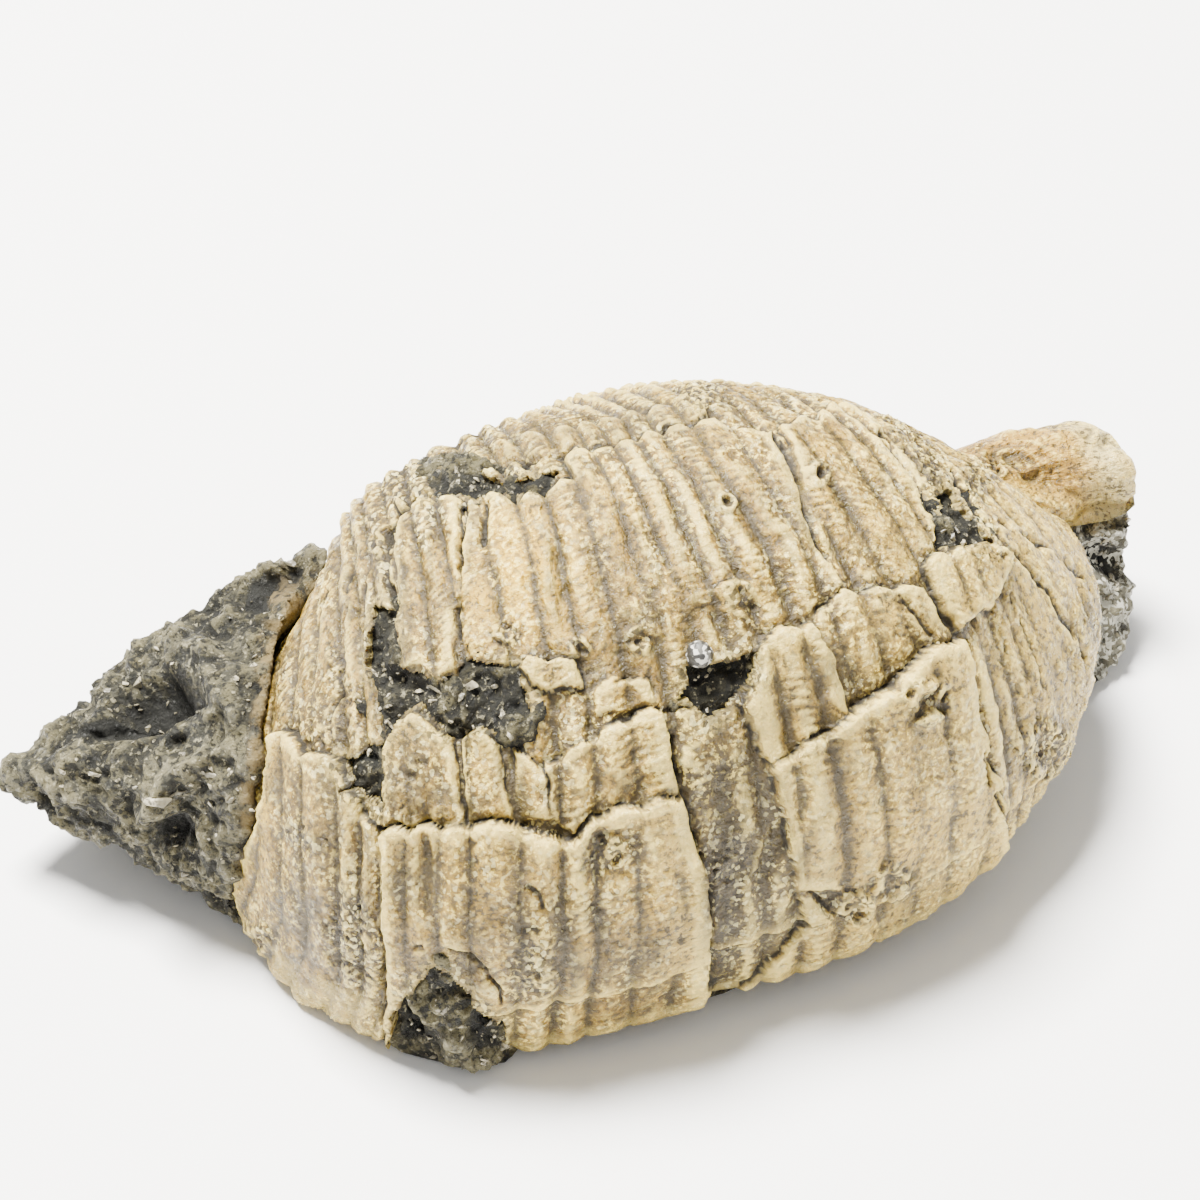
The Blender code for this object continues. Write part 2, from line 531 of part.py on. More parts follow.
def make_rock(name, filling):
    """The limestone: the filling of the valve and the blocks outside it, melted into one rough
    body that is flat underneath."""
    mesh = bpy.data.meshes.new(name)
    bm = bmesh.new()
    bm.from_mesh(filling.data)
    for corners in ROCK_BLOCKS:
        block = [bm.verts.new(Vector(corner) * MM) for corner in corners]
        hull = bmesh.ops.convex_hull(bm, input=block)
        spare = set(hull["geom_unused"] + hull["geom_interior"])
        bmesh.ops.delete(bm, geom=[part for part in spare if isinstance(part, bmesh.types.BMVert)])
    bmesh.ops.recalc_face_normals(bm, faces=bm.faces)
    bm.to_mesh(mesh)
    bm.free()
    thing = bpy.data.objects.new(name, mesh)
    bpy.context.scene.collection.objects.link(thing)
    melt(thing, ROCK_VOXEL)
    roughen(thing)
    thin_out(thing, ROCK_FACES)
    cut_flat(thing, 0.0)
    return keep_largest(thing)


def roughen(thing):
    """Gives the limestone its hollows, lumps and broken surface."""
    mesh = thing.data
    points = read_points(mesh) / MM
    normals = np.array([vertex.normal for vertex in mesh.vertices])
    height = np.array([0.9 * noise.noise(Vector(point) / 5.5)
                       + 0.55 * noise.noise(Vector(point) / 2.4) for point in points])
    for centre, radius, rise in ROCK_FORMS:
        away = np.linalg.norm(points - centre, axis=1)
        height += rise * np.exp(-(away / radius) ** 2)
    write_points(mesh, points + normals * height[:, None])


def cut_flat(thing, height):
    """Cuts a form off flat at this height above the surface that the fossil lies on."""
    bm = bmesh.new()
    bm.from_mesh(thing.data)
    everything = bm.verts[:] + bm.edges[:] + bm.faces[:]
    cut = bmesh.ops.bisect_plane(bm, geom=everything, plane_co=(0, 0, height * MM),
                                 plane_no=(0, 0, -1), clear_outer=True)
    rim = [part for part in cut["geom_cut"] if isinstance(part, bmesh.types.BMEdge)]
    bmesh.ops.holes_fill(bm, edges=rim)
    bmesh.ops.triangulate(bm, faces=bm.faces)
    bmesh.ops.recalc_face_normals(bm, faces=bm.faces)
    bm.to_mesh(thing.data)
    bm.free()


def make_material(name, colour, roughness):
    """A plain stony finish."""
    material = bpy.data.materials.new(name)
    material.use_nodes = True
    shader = material.node_tree.nodes["Principled BSDF"]
    shader.inputs["Base Color"].default_value = (*colour, 1)
    shader.inputs["Roughness"].default_value = roughness
    shader.inputs["Metallic"].default_value = 0.0
    return material


def finish(thing, material):
    """Moves a piece over the middle of the footprint and gives it its material and its smooth
    shading with sharp broken edges."""
    thing.data.transform(Matrix.Translation(-Vector(FOOTPRINT_CENTRE) * MM))
    thing.data.materials.clear()
    thing.data.materials.append(material)
    thing.data.shade_smooth()
    thing.data.set_sharp_from_angle(angle=np.radians(35))


for old in list(bpy.data.objects):
    bpy.data.objects.remove(old)

shell = make_valve("shell")
hollow = make_filling("hollow", lift_in_holes=1.6)
combine(shell, hollow, "DIFFERENCE")
keep_largest(shell)

filling = make_filling("filling")
matrix = make_rock("matrix", filling)
stand_clear(matrix, shell)
keep_largest(matrix)

finish(shell, make_material("shell_calcite", (0.62, 0.52, 0.36), 0.5))
finish(matrix, make_material("grey_limestone", (0.17, 0.165, 0.15), 0.85))
for guide in (hollow, filling):
    bpy.data.objects.remove(guide)
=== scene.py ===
"""The looks of the brachiopod fossil: a cream, ribbed valve of calcite on grey limestone."""
import contextlib
import itertools

import bmesh
import bpy
import numpy as np
from mathutils import Matrix, Vector
from mathutils.bvhtree import BVHTree


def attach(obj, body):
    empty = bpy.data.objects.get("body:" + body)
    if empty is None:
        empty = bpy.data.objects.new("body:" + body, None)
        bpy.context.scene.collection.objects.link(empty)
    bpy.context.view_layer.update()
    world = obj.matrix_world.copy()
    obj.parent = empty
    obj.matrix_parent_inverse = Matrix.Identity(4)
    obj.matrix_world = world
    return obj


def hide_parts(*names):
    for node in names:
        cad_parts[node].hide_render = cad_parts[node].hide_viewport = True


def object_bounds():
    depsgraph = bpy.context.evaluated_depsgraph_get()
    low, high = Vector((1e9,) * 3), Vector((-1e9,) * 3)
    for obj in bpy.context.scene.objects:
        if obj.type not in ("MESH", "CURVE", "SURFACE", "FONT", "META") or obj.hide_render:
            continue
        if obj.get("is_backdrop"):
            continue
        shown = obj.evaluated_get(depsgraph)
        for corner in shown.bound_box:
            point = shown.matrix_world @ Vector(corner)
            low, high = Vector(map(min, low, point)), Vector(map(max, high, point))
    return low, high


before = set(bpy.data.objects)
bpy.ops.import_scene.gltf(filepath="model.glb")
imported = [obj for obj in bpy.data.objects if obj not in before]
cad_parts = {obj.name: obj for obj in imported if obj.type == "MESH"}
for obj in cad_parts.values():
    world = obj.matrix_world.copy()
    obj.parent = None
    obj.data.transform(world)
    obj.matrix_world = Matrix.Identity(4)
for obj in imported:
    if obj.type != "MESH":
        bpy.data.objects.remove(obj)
cad_low, cad_high = (np.array(corner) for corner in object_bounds())

# ---------------------------------------------------------------------------------------------
# The limestone.  A hard grey mud rock, full of shell grit and small calcite crystals, that set
# inside the valve and around its left end.  It was knocked off its bed with a hammer, so that
# what stands out of the valve is all broken faces, and only the underside is flat enough to lie on.
# ---------------------------------------------------------------------------------------------
MM = 0.001
MIDDLE = np.array([1.25, 0.42, 0.0])      # middle of the footprint, from the valve's midline
ROCK_VOXEL = 0.34
ROCK_SMOOTHINGS = 5         # rounds that take the solid model's facets off
ROCK_TRIANGLES = 185000

# The sketch on which forms that the fossil shows from its front left are drawn; see on_sketch.
SKETCH_CENTRE = np.array([-1.5, 2.5, 23.2])
SKETCH_AZIMUTH = np.radians(-22.0)
SKETCH_ELEVATION = np.radians(41.0)
SKETCH_DISTANCE = 270.0

# Forms of the broken rock: (place on the sketch, half width, half height, turn, rise).
ROCK_FORMS = [
    ((-32.4, -7.4), 3.3, 1.7, 28, -3), ((-35.4, -9), 2.8, 1, 12, -1.2),
    ((-29.3, -4.4), 2, 2, 0, 1.5), ((-26.9, -6.4), 1.8, 2.3, 20, 1.1),
    ((-37, -11.6), 4.6, 0.8, 4, 0.9), ((-30.6, -13.4), 4, 0.8, 38, 1.1),
    ((-31, -17), 1.7, 1.1, 0, -1.8), ((-36, -8.7), 2.6, 0.5, 18, 0.8),
    ((-26.6, -17.5), 2.2, 4.5, 15, 0.7), ((-24.4, 1), 2.6, 1, 30, -0.9),
    ((-11.8, -29.2), 1.6, 2.2, 0, 0.6), ((-8.6, -31), 1.2, 1.6, 0, -0.8),
    ((-14, -31), 1, 1.8, 0, -0.7), ((36.6, 3.2), 2, 1.2, -40, -1), ((34.2, 5.6), 2.4, 1, -30, 0.5),
    ((-24.2, -5.5), 0.9, 4.5, 20, 0.5)]
ROCK_TOP = (-22.5, 23.0)                  # across and up: the worn top edge of the rock


def read_points(mesh):
    """The mesh's vertices as an array, in millimetres."""
    flat = np.empty(len(mesh.vertices) * 3, np.float32)
    mesh.vertices.foreach_get("co", flat)
    return flat.reshape(-1, 3).astype(float) / MM


def read_normals(mesh):
    """The mesh's vertex normals as an array."""
    flat = np.empty(len(mesh.vertices) * 3, np.float32)
    mesh.vertices.foreach_get("normal", flat)
    return flat.reshape(-1, 3).astype(float)


def write_points(mesh, points):
    """Moves the mesh's vertices to these places, kept inside the solid model's box."""
    places = np.clip(points * MM, cad_low, cad_high)
    mesh.vertices.foreach_set("co", places.astype(np.float32).ravel())
    mesh.update()


def new_thing(name):
    """A new object in the scene, with an empty mesh."""
    thing = bpy.data.objects.new(name, bpy.data.meshes.new(name))
    bpy.context.scene.collection.objects.link(thing)
    return thing


@contextlib.contextmanager
def reshaping(mesh, start=None):
    """The mesh, or another to start from, opened as a bmesh and written back at the end."""
    bm = bmesh.new()
    bm.from_mesh(start or mesh)
    yield bm
    bm.to_mesh(mesh)
    bm.free()


def settle(thing):
    """Makes an object's modifiers part of its mesh."""
    bpy.context.view_layer.update()
    shaped = thing.evaluated_get(bpy.context.evaluated_depsgraph_get())
    thing.data = bpy.data.meshes.new_from_object(shaped)
    thing.modifiers.clear()


def present_triangles(thing):
    """The number of triangles in an object's mesh."""
    return sum(len(face.vertices) - 2 for face in thing.data.polygons)


def thin_out(thing, triangles):
    """Collapses the mesh to about this many triangles, keeping its ledges and ridges."""
    modifier = thing.modifiers.new("Thin out", "DECIMATE")
    modifier.ratio = min(1.0, triangles / present_triangles(thing))
    modifier.use_collapse_triangulate = True
    settle(thing)


def grain(points, size, seed=0):
    """Smooth noise between about -1 and 1, with lumps of this size."""
    cells = points / size + np.array([17.31, 5.17, 29.77]) * (seed + 1)
    corner = np.floor(cells).astype(np.int64)
    inside = cells - corner
    weight = inside ** 3 * (inside * (inside * 6 - 15) + 10)
    total = np.zeros(len(points))
    for step in itertools.product((0, 1), repeat=3):
        place = corner + step
        mixed = place @ np.array([73856093, 19349663, 83492791])
        mixed = (mixed ^ (mixed >> 13)) * 1274126177 & 0xFFFFFFFF
        mixed ^= mixed >> 16
        slopes = np.stack((mixed & 255, mixed >> 8 & 255, mixed >> 16 & 255), -1) / 127.5 - 1
        share = np.prod(np.where(step, weight, 1 - weight), axis=1)
        total += share * np.sum(slopes * (inside - step), axis=1)
    return total * 1.5


def ease(value, low=0.0, high=1.0):
    """0 below low, 1 above high and a smooth change between them."""
    t = np.clip((value - low) / (high - low), 0, 1)
    return t * t * (3 - 2 * t)


def add_masks(mesh, masks):
    """Stores values for each vertex, under their names, for the finish to read."""
    for name, values in masks.items():
        mask = mesh.attributes.new(name, "FLOAT", "POINT")
        mask.data.foreach_set("value", np.clip(values, 0, 1).astype(np.float32))


def sketch_axes():
    """The sketch's right, up and towards-the-eye directions."""
    side, rise = SKETCH_AZIMUTH, SKETCH_ELEVATION
    right = np.array([np.cos(side), np.sin(side), 0.0])
    towards = np.array([np.sin(side) * np.cos(rise), -np.cos(side) * np.cos(rise), np.sin(rise)])
    return right, np.cross(towards, right), towards


def on_sketch(points, normals):
    """Sketch places of points, and how fully each of them faces the sketch's eye.

    The sketch is upright and faces the valve from its front left and above, x to the right and y
    up.  It is carried back onto the valve along the lines that meet at its eye.
    """
    right, up, towards = sketch_axes()
    offset = points - SKETCH_CENTRE
    scale = SKETCH_DISTANCE / (SKETCH_DISTANCE - offset @ towards)
    to_eye = towards * SKETCH_DISTANCE - offset
    to_eye /= np.linalg.norm(to_eye, axis=1, keepdims=True)
    facing = ease(np.sum(normals * to_eye, axis=1), 0.02, 0.14)
    return offset @ right * scale, offset @ up * scale, facing


def oval(x, y, place):
    """How far places lie from an oval's middle, squared, with 1 on its edge."""
    (middle_x, middle_y), half_width, half_height, turn = place[:4]
    c, s = np.cos(np.radians(turn)), np.sin(np.radians(turn))
    along, up = x - middle_x, y - middle_y
    return ((along * c + up * s) / half_width) ** 2 + ((up * c - along * s) / half_height) ** 2


# What the valve's rib and run masks cover: millimetres across the ribs, and along them degrees
# round the hinge line and the length of that run in millimetres.
RIB_SPAN = 120
RUN_START = -60
RUN_SPAN = 300
RUN_LENGTH = 160


class Shade:
    """A shader value.  Sums and products of it add Math nodes to its material."""

    def __init__(self, tree, socket):
        self.tree = tree
        self.socket = socket

    def node(self, kind, settings, inputs, output=0):
        """Adds a node with these settings and these values or links, and returns its output."""
        node = self.tree.nodes.new(kind)
        for name, value in settings.items():
            setattr(node, name, value)
        for name, value in inputs.items():
            if isinstance(value, Shade):
                self.tree.links.new(value.socket, node.inputs[name])
            else:
                node.inputs[name].default_value = value
        return Shade(self.tree, node.outputs[output])

    def maths(self, operation, *values):
        return self.node("ShaderNodeMath", {"operation": operation}, dict(enumerate(values)))

    def __add__(self, other):
        return self.maths("ADD", self, other)

    def __radd__(self, other):
        return self.maths("ADD", other, self)

    def __sub__(self, other):
        return self.maths("SUBTRACT", self, other)

    def __rsub__(self, other):
        return self.maths("SUBTRACT", other, self)

    def __mul__(self, other):
        return self.maths("MULTIPLY", self, other)

    def __rmul__(self, other):
        return self.maths("MULTIPLY", other, self)

    def between(self, low, high):
        """0 below low, 1 above high and a smooth change between them."""
        return self.node("ShaderNodeMapRange", {"interpolation_type": "SMOOTHSTEP"},
                         {"Value": self, "From Min": low, "From Max": high})

    def place(self):
        """The object's own coordinates."""
        return self.node("ShaderNodeTexCoord", {}, {}, "Object")

    def noise(self, size, detail=2.0, roughness=0.5):
        """Noise with lumps of this size in millimetres."""
        return self.node("ShaderNodeTexNoise", {},
                         {"Vector": self.place(), "Scale": 1 / (size * MM), "Detail": detail,
                          "Roughness": roughness})

    def chips(self, size):
        """A random value for each cell of this size in millimetres."""
        return self.node("ShaderNodeTexVoronoi", {},
                         {"Vector": self.place(), "Scale": 1 / (size * MM)}, "Color")

    def along_ribs(self, size, stretch, detail=3.0, roughness=0.6):
        """Noise drawn out along the ribs, with lumps of this size in millimetres across them."""
        place = self.node("ShaderNodeCombineXYZ", {}, {
            "X": self.mask("rib") * RIB_SPAN, "Y": self.mask("run") * (RUN_LENGTH / stretch)})
        return self.node("ShaderNodeTexNoise", {}, {"Vector": place, "Scale": 1 / size,
                                                    "Detail": detail, "Roughness": roughness})

    def mask(self, name):
        """A mask stored on the mesh."""
        return self.node("ShaderNodeAttribute", {"attribute_name": name}, {}, "Fac")

    def blend(self, colour, other):
        """One colour where this value is 0 and the other where it is 1."""
        return self.node("ShaderNodeMix", {"data_type": "RGBA"},
                         {0: self, 6: colour if isinstance(colour, Shade) else (*colour, 1),
                          7: (*other, 1)}, 2)

    def bumps(self, height, distance):
        """Relief of this height in millimetres, on top of what this value already has."""
        inputs = {"Height": height, "Strength": 1.0, "Distance": distance * MM}
        if self.socket.type == "VECTOR":
            inputs["Normal"] = self
        return self.node("ShaderNodeBump", {}, inputs)


def start_finish(name):
    """A new material and the shade of its Principled shader's output."""
    material = bpy.data.materials.new(name)
    material.use_nodes = True
    shader = material.node_tree.nodes["Principled BSDF"]
    return material, shader, Shade(material.node_tree, shader.outputs[0])


def painted(colour, *coats):
    """A colour under coats, each given by how much of it there is and its colour."""
    for share, tint in coats:
        colour = share.blend(colour, tint)
    return colour


def connect(shader, links):
    """Feeds shades to the shader's sockets."""
    for name, shade in links.items():
        shade.tree.links.new(shade.socket, shader.inputs[name])


rock = new_thing("Limestone")
with reshaping(rock.data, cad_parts["matrix"].data) as bm:
    bmesh.ops.remove_doubles(bm, verts=bm.verts, dist=0.001 * MM)
remesh = rock.modifiers.new("Even mesh", "REMESH")
remesh.mode = "VOXEL"
remesh.voxel_size = ROCK_VOXEL * MM
settle(rock)
with reshaping(rock.data) as bm:
    for _ in range(ROCK_SMOOTHINGS):
        bmesh.ops.smooth_vert(bm, verts=bm.verts, factor=0.5, use_axis_x=True, use_axis_y=True,
                              use_axis_z=True)


def steps(values, sharpness=0.3):
    """Turns a smooth field into level terraces with short slopes between them."""
    whole = np.floor(values)
    return whole + ease(values - whole, 0.5 - sharpness, 0.5 + sharpness)


def rock_fields(places, normals):
    """The lie of the broken rock, how deep a place is, and how much it lies in a large hollow."""
    x, y, facing = on_sketch(places + MIDDLE, normals)
    height = np.zeros(len(places))
    hollow = np.zeros(len(places))
    for place in ROCK_FORMS:
        rise = place[4]
        form = facing * np.exp(-oval(x, y, place) ** 2)
        height += rise * form
        if rise < 0:
            hollow = np.maximum(hollow, form * min(1, -rise))
    lumps = 0.7 * grain(places, 4.2, 1) + 0.42 * steps(2.4 * grain(places, 2.7, 18), 0.15)
    chips = (0.3 * (1 - np.abs(grain(places, 1.7, 2)) * 2)
             + 0.24 * steps(2.2 * grain(places, 1.3, 19), 0.2))
    grit = 0.2 * grain(places, 0.8, 3) + 0.1 * grain(places, 0.45, 4)
    height += lumps + chips + grit - 0.30
    return height, 0.5 - 0.55 * (lumps + 1.5 * chips + 1.8 * grit - 0.35), hollow


places = read_points(rock.data)
normals = read_normals(rock.data)
rock_height, deep, hollow = rock_fields(places, normals)
sketch_x, sketch_y, facing = on_sketch(places + MIDDLE, normals)
film = facing * (ease(sketch_x - 0.10 * (sketch_y + 3) + 0.4 * grain(places, 2.4, 31), -24.9, -24.3)
                 * (1 - ease(sketch_x, -20, -17)) * ease(sketch_y, -23, -20)
                 * (1 - ease(sketch_y, 0, 3)))
add_masks(rock.data, {"hollow": hollow, "deep": deep, "film": film,
                      "wedge": ease(-sketch_x - 0.35 * sketch_y, 23.5, 29.0),
                      # Right side of the rock: painted lighter, as light falling on it, and dotted
                      # with white crystals.
                      "painted_light_and_crystals": ease(sketch_x, 20, 33)})
top_corner = np.hypot(places[:, 0] + MIDDLE[0] - ROCK_TOP[0], places[:, 2] - ROCK_TOP[1])
rock_height = rock_height * (1 - 0.75 * film) + 0.5 * film - 0.9 * np.exp(-(top_corner / 4.0) ** 2)
places += normals * (rock_height * ease(places[:, 2], 0.1, 1.4))[:, None]
write_points(rock.data, places)
thin_out(rock, ROCK_TRIANGLES)
rock.data.shade_smooth()

limestone, shader, out = start_finish("Grey limestone")
shader.inputs["Specular IOR Level"].default_value = 0.35
fine = out.noise(0.5, 5.0, 0.68)
mottle = out.noise(1.5, 4.0, 0.65)
cells = out.chips(0.75)
small_cells = out.chips(0.34)
painted_light_and_crystals = out.mask("painted_light_and_crystals")
deepness = out.mask("deep")
hollow = out.mask("hollow").between(0.0, 0.8)
colour = painted(
    out.noise(6.0, 3.0).between(0.38, 0.62).blend((0.028, 0.023, 0.007), (0.071, 0.058, 0.019)),
    (out.mask("wedge") * 0.75, (0.031, 0.032, 0.027)),
    (cells.between(0.52, 0.72) * 0.6, (0.147, 0.131, 0.071)),
    (1 - cells.between(0.28, 0.42), (0.011, 0.010, 0.005)),
    (mottle.between(0.49, 0.60) * 0.6, (0.147, 0.128, 0.062)),
    # Painted light: the right side of the rock lighter and less dark in its low places and pits.
    (painted_light_and_crystals * 0.5, (0.170, 0.161, 0.127)),
    # Painted light and shade by depth: high places of the rock lighter, low places near black.
    ((1 - deepness.between(0.05, 0.4)) * 0.6, (0.201, 0.179, 0.099)),
    (deepness.between(0.5, 0.9) * (0.9 - 0.4 * painted_light_and_crystals), (0.005, 0.005, 0.003)),
    # Painted shade: the large hollows of the rock near black.
    (hollow, (0.005, 0.005, 0.003)),
    ((1 - fine.between(0.39, 0.48)) * (0.9 - 0.3 * painted_light_and_crystals), (0.005, 0.005, 0.003)),
    (fine.between(0.54, 0.63) * small_cells.between(0.40, 0.65) * 0.7 * (1 - hollow),
     (0.355, 0.320, 0.201)),
    (painted_light_and_crystals * small_cells.between(0.45, 0.62) * mottle.between(0.40, 0.52),
     (0.510, 0.492, 0.402)),
    (out.mask("film") * mottle.between(0.38, 0.52) * 0.8, (0.176, 0.126, 0.047)))
roughness = 0.75 - 0.45 * small_cells.between(0.5, 0.8) + 0.1 * mottle
relief = out.bumps(cells, 0.22).bumps(fine, 0.55).bumps(small_cells, 0.1)
connect(shader, {"Base Color": colour, "Roughness": roughness, "Normal": relief})
rock.data.materials.append(limestone)

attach(rock, "root")
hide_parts("matrix")

# ---------------------------------------------------------------------------------------------
# The valve.  One crust of calcite about 2 mm thick that grew layer on layer from the hinge line
# forwards.  It carries ribs, wrinkles on its older rear half, and the stumps of hollow spines,
# and its outer layers have flaked off in plates.  Their broken edges are painted bright, partly as
# highlight, with lines of painted shade beside them.
# ---------------------------------------------------------------------------------------------
# It coils about its hinge line.  Angles are in degrees around that line: 0 back, 90 up, 180 front.
HINGE_Y = 13.0
HINGE_Z = 13.7
BACK_ANGLE = -40
FRONT_ANGLES = {"left": [(0, 199), (0.2, 202.5), (0.3, 205), (0.4, 208), (0.5, 215), (0.6, 224),
                         (0.7, 229), (1, 230)],
                "right": [(0, 199), (0.3, 197.5), (0.6, 196), (1, 196)]}
MIDLINE_RADII = [(-60, 3.0), (-40, 3.5), (0, 6.5), (30, 9.5), (60, 14.1), (90, 19.7), (120, 25.8),
                 (150, 30.5), (180, 33), (215, 35)]
LEFT_REACHES = [(-60, 5), (-40, 6), (0, 10), (60, 15.4), (90, 20.0), (120, 24.0), (150, 27.2),
                (180, 29.4), (215, 30.6)]
RIGHT_REACHES = [(-60, 5), (-40, 6), (0, 12), (60, 20.5), (90, 26), (120, 31.5), (150, 36.5),
                 (180, 40), (215, 41.5)]
EAR_RADII = {"left": 3.0, "right": 4.9}
EAR_SWELLS = {"left": 0.0, "right": 0.22}    # share by which an ear is thicker towards its end
EAR_TIPS = {"left": 27.0, "right": 47.5}
BODY_SHARE = 0.70        # share of the width, from the midline out, that is body and not ear
EAR_TAPER = {"left": 0.5, "right": 0.42}
EAR_ROUNDING = 0.86      # share of the ear after which its end rounds off
EAR_LEAST = 0.8
SHELL_THICKNESS = 2.3
RIB_SPACING = 2.3
RIB_DEPTH = 0.42
WRINKLE_SPACING = 3.1
GROWTH_LINE_SPACING = 0.95
RIGHT_EAR_END = 46.7      # where the right ear is broken off, at the height of the hinge line
SHELL_GRID = (840, 600)
OUTSIDE_TRIANGLES = 168000
INSIDE_TRIANGLES = 9000
# How far the limestone in each hole lies below the skin, and how thick it is.
GAP_LEVELS = [0.35, 0.75, 0.2, 0.15, 0.4]
GAP_DEPTH = 1.2
GAP_TRIANGLES = 40000

# Layers: (rise of the upper edge, share of the rise left at the lower edge, outline).
LAYERS = [
    (0.45, 0.3, [(-7.2, 11.6), (-4.3, 11.7), (-0.7, 12.5), (2.2, 13.6), (6.2, 14.4), (8.1, 13),
     (4.9, 12.5), (0, 10.9), (-2.4, 10.6), (-6.9, 10.1)]),
    (0.45, 0.6, [(-14.4, 6.9), (-12.3, 7.4), (-9.9, 7), (-10.1, 2.9), (-10.4, -4.9), (-11.6, -5.8),
     (-14.5, -4.7), (-14.8, 0), (-14.5, 4.3)]),
    (0.55, 0.15, [(-9.7, 7), (-6.4, 7.3), (-4, 7.5), (-2, 8.8), (-2.4, 10.4), (2.7, 11.8),
     (8.1, 13), (10.1, 12.2), (12.2, 12), (14.1, 9.1), (16.4, 2.9), (17.8, 0.9), (14.5, -1.6),
     (12.2, -2.3), (10.5, -1.2), (7.2, -0.6), (4.3, -2.5), (0, -3.8), (-9.4, -4), (-10.2, 0)]),
    (0.45, 0.15, [(12.9, 12.3), (15.4, 12.8), (16.7, 13.8), (18.5, 13.8), (21, 11.2), (23.8, 6.9),
     (24.6, 4.3), (22.8, 1.4), (18.1, 0.9), (16.5, 3.3), (14.5, 9.1)]),
    (0.75, 0.5, [(-14.5, -8.7), (-13.4, -7.9), (-12.3, -8.6), (-10.7, -10.5), (-9.7, -16.4),
     (-15.8, -16.1), (-15.5, -10.5)]),
    (0.6, 0.5, [(-10, -9.4), (-8.8, -9.2), (-7.4, -10.7), (-6.4, -15.9), (-9.4, -16.2)]),
    (0.45, 0.5, [(-6.2, -10.5), (-4, -12.7), (-3.2, -16.1), (-5.8, -15.8)]),
    (0.6, 0.8, [(-5.8, -4.7), (-5.1, -4.2), (-1.8, -4.3), (-1.4, -6.2), (-5.1, -6.3)]),
    (0.35, 0.6, [(-0.7, -6.5), (0.7, -5.8), (3.6, -5.7), (4.3, -7.7), (0, -8.4)]),
    (0.7, 0.4, [(-4, -12), (-1.4, -10.4), (2.9, -8.3), (4.3, -8.1), (5.2, -10.1), (5.9, -14),
     (-0.6, -15.6), (-2, -17.1), (-3.3, -16.1)]),
    (1.05, 0.5, [(11.4, -3.6), (11.9, -2.8), (15.1, -1.6), (16.1, -3.6), (18.3, -8.3),
     (16.3, -9.8), (11.9, -11.9), (10.3, -7.6), (11.4, -5.2)]),
    (0.5, 0.1, [(15.6, -1.3), (17.4, 0.6), (22.8, 0.9), (24.3, -0.4), (25.2, -2.5), (22.8, -4.2),
     (18.1, -8.1), (16.1, -3.6)]),
    (1, 0.5, [(23.2, 2.4), (23.9, 3), (27.2, 4.1), (29.2, 2.5), (28.3, 0), (25.7, -2.5),
     (24.3, 0.2)]),
    (0.8, 0.3, [(-23.3, -10.1), (-22.5, -9.4), (-21.2, -10.9), (-18.8, -11.4), (-18, -13.4),
     (-17.2, -15.4), (-15.9, -16.4), (-15.4, -20.3), (-15.9, -33.3), (-26.8, -30.4),
     (-26.1, -20.3), (-24.2, -15.2)]),
    (1.2, 0.3, [(-15.7, -16.4), (-9.1, -16.4), (-6.2, -16.1), (-4, -17), (-2, -17.5),
     (-0.6, -15.7), (2.2, -14.7), (5.9, -14.1), (8, -21.8), (8.2, -31.9), (-5.8, -35.5),
     (-15.6, -34.1), (-15.1, -20.3)]),
    (1.45, 0.3, [(11.9, -11.9), (14.5, -10.5), (16.3, -9.6), (18.1, -8.2), (22.8, -4.3),
     (25.4, -2.6), (26.7, -6.5), (29.2, -16.7), (29.1, -20.3), (21.8, -26.8), (8.7, -30.4),
     (14.9, -23.6), (12.8, -14.5)])]

# Holes through the shell, where the limestone shows.
HOLES = [
    [(-16.5, -0.6), (-14.5, -0.4), (-14.4, -4.7), (-11.6, -5.9), (-9.4, -4.1), (-5.8, -4.9),
     (-4.9, -8.1), (-5.8, -10.3), (-8, -9.8), (-10.9, -10.3), (-13.4, -7.9), (-15.4, -10.5),
     (-15.7, -15.6), (-18, -13.8), (-18.7, -11.4), (-15.6, -10.1), (-17.4, -4.9)],
    [(6.7, -4), (8.7, -4.6), (11.2, -3.6), (11.6, -4.9), (9.4, -8.1), (8, -9.2), (5.8, -7.2)],
    [(-12.7, 9.1), (-10.5, 9.8), (-7.2, 8.7), (-2.3, 9.3), (-4, 7.5), (-8.7, 7.8), (-11.6, 7.4)],
    [(24.4, 7.9), (25.6, 7.9), (27.4, 5.4), (28.6, 3.5), (27, 3.6), (25.4, 3.5), (24.2, 3.7),
     (25, 5.6)],
    [(-14.9, -29.4), (-13.4, -27.9), (-12.2, -26.2), (-10.5, -27.2), (-8.7, -29), (-7, -30.8),
     (-6.5, -33.3), (-10.9, -35.5), (-15.2, -34.1)]]

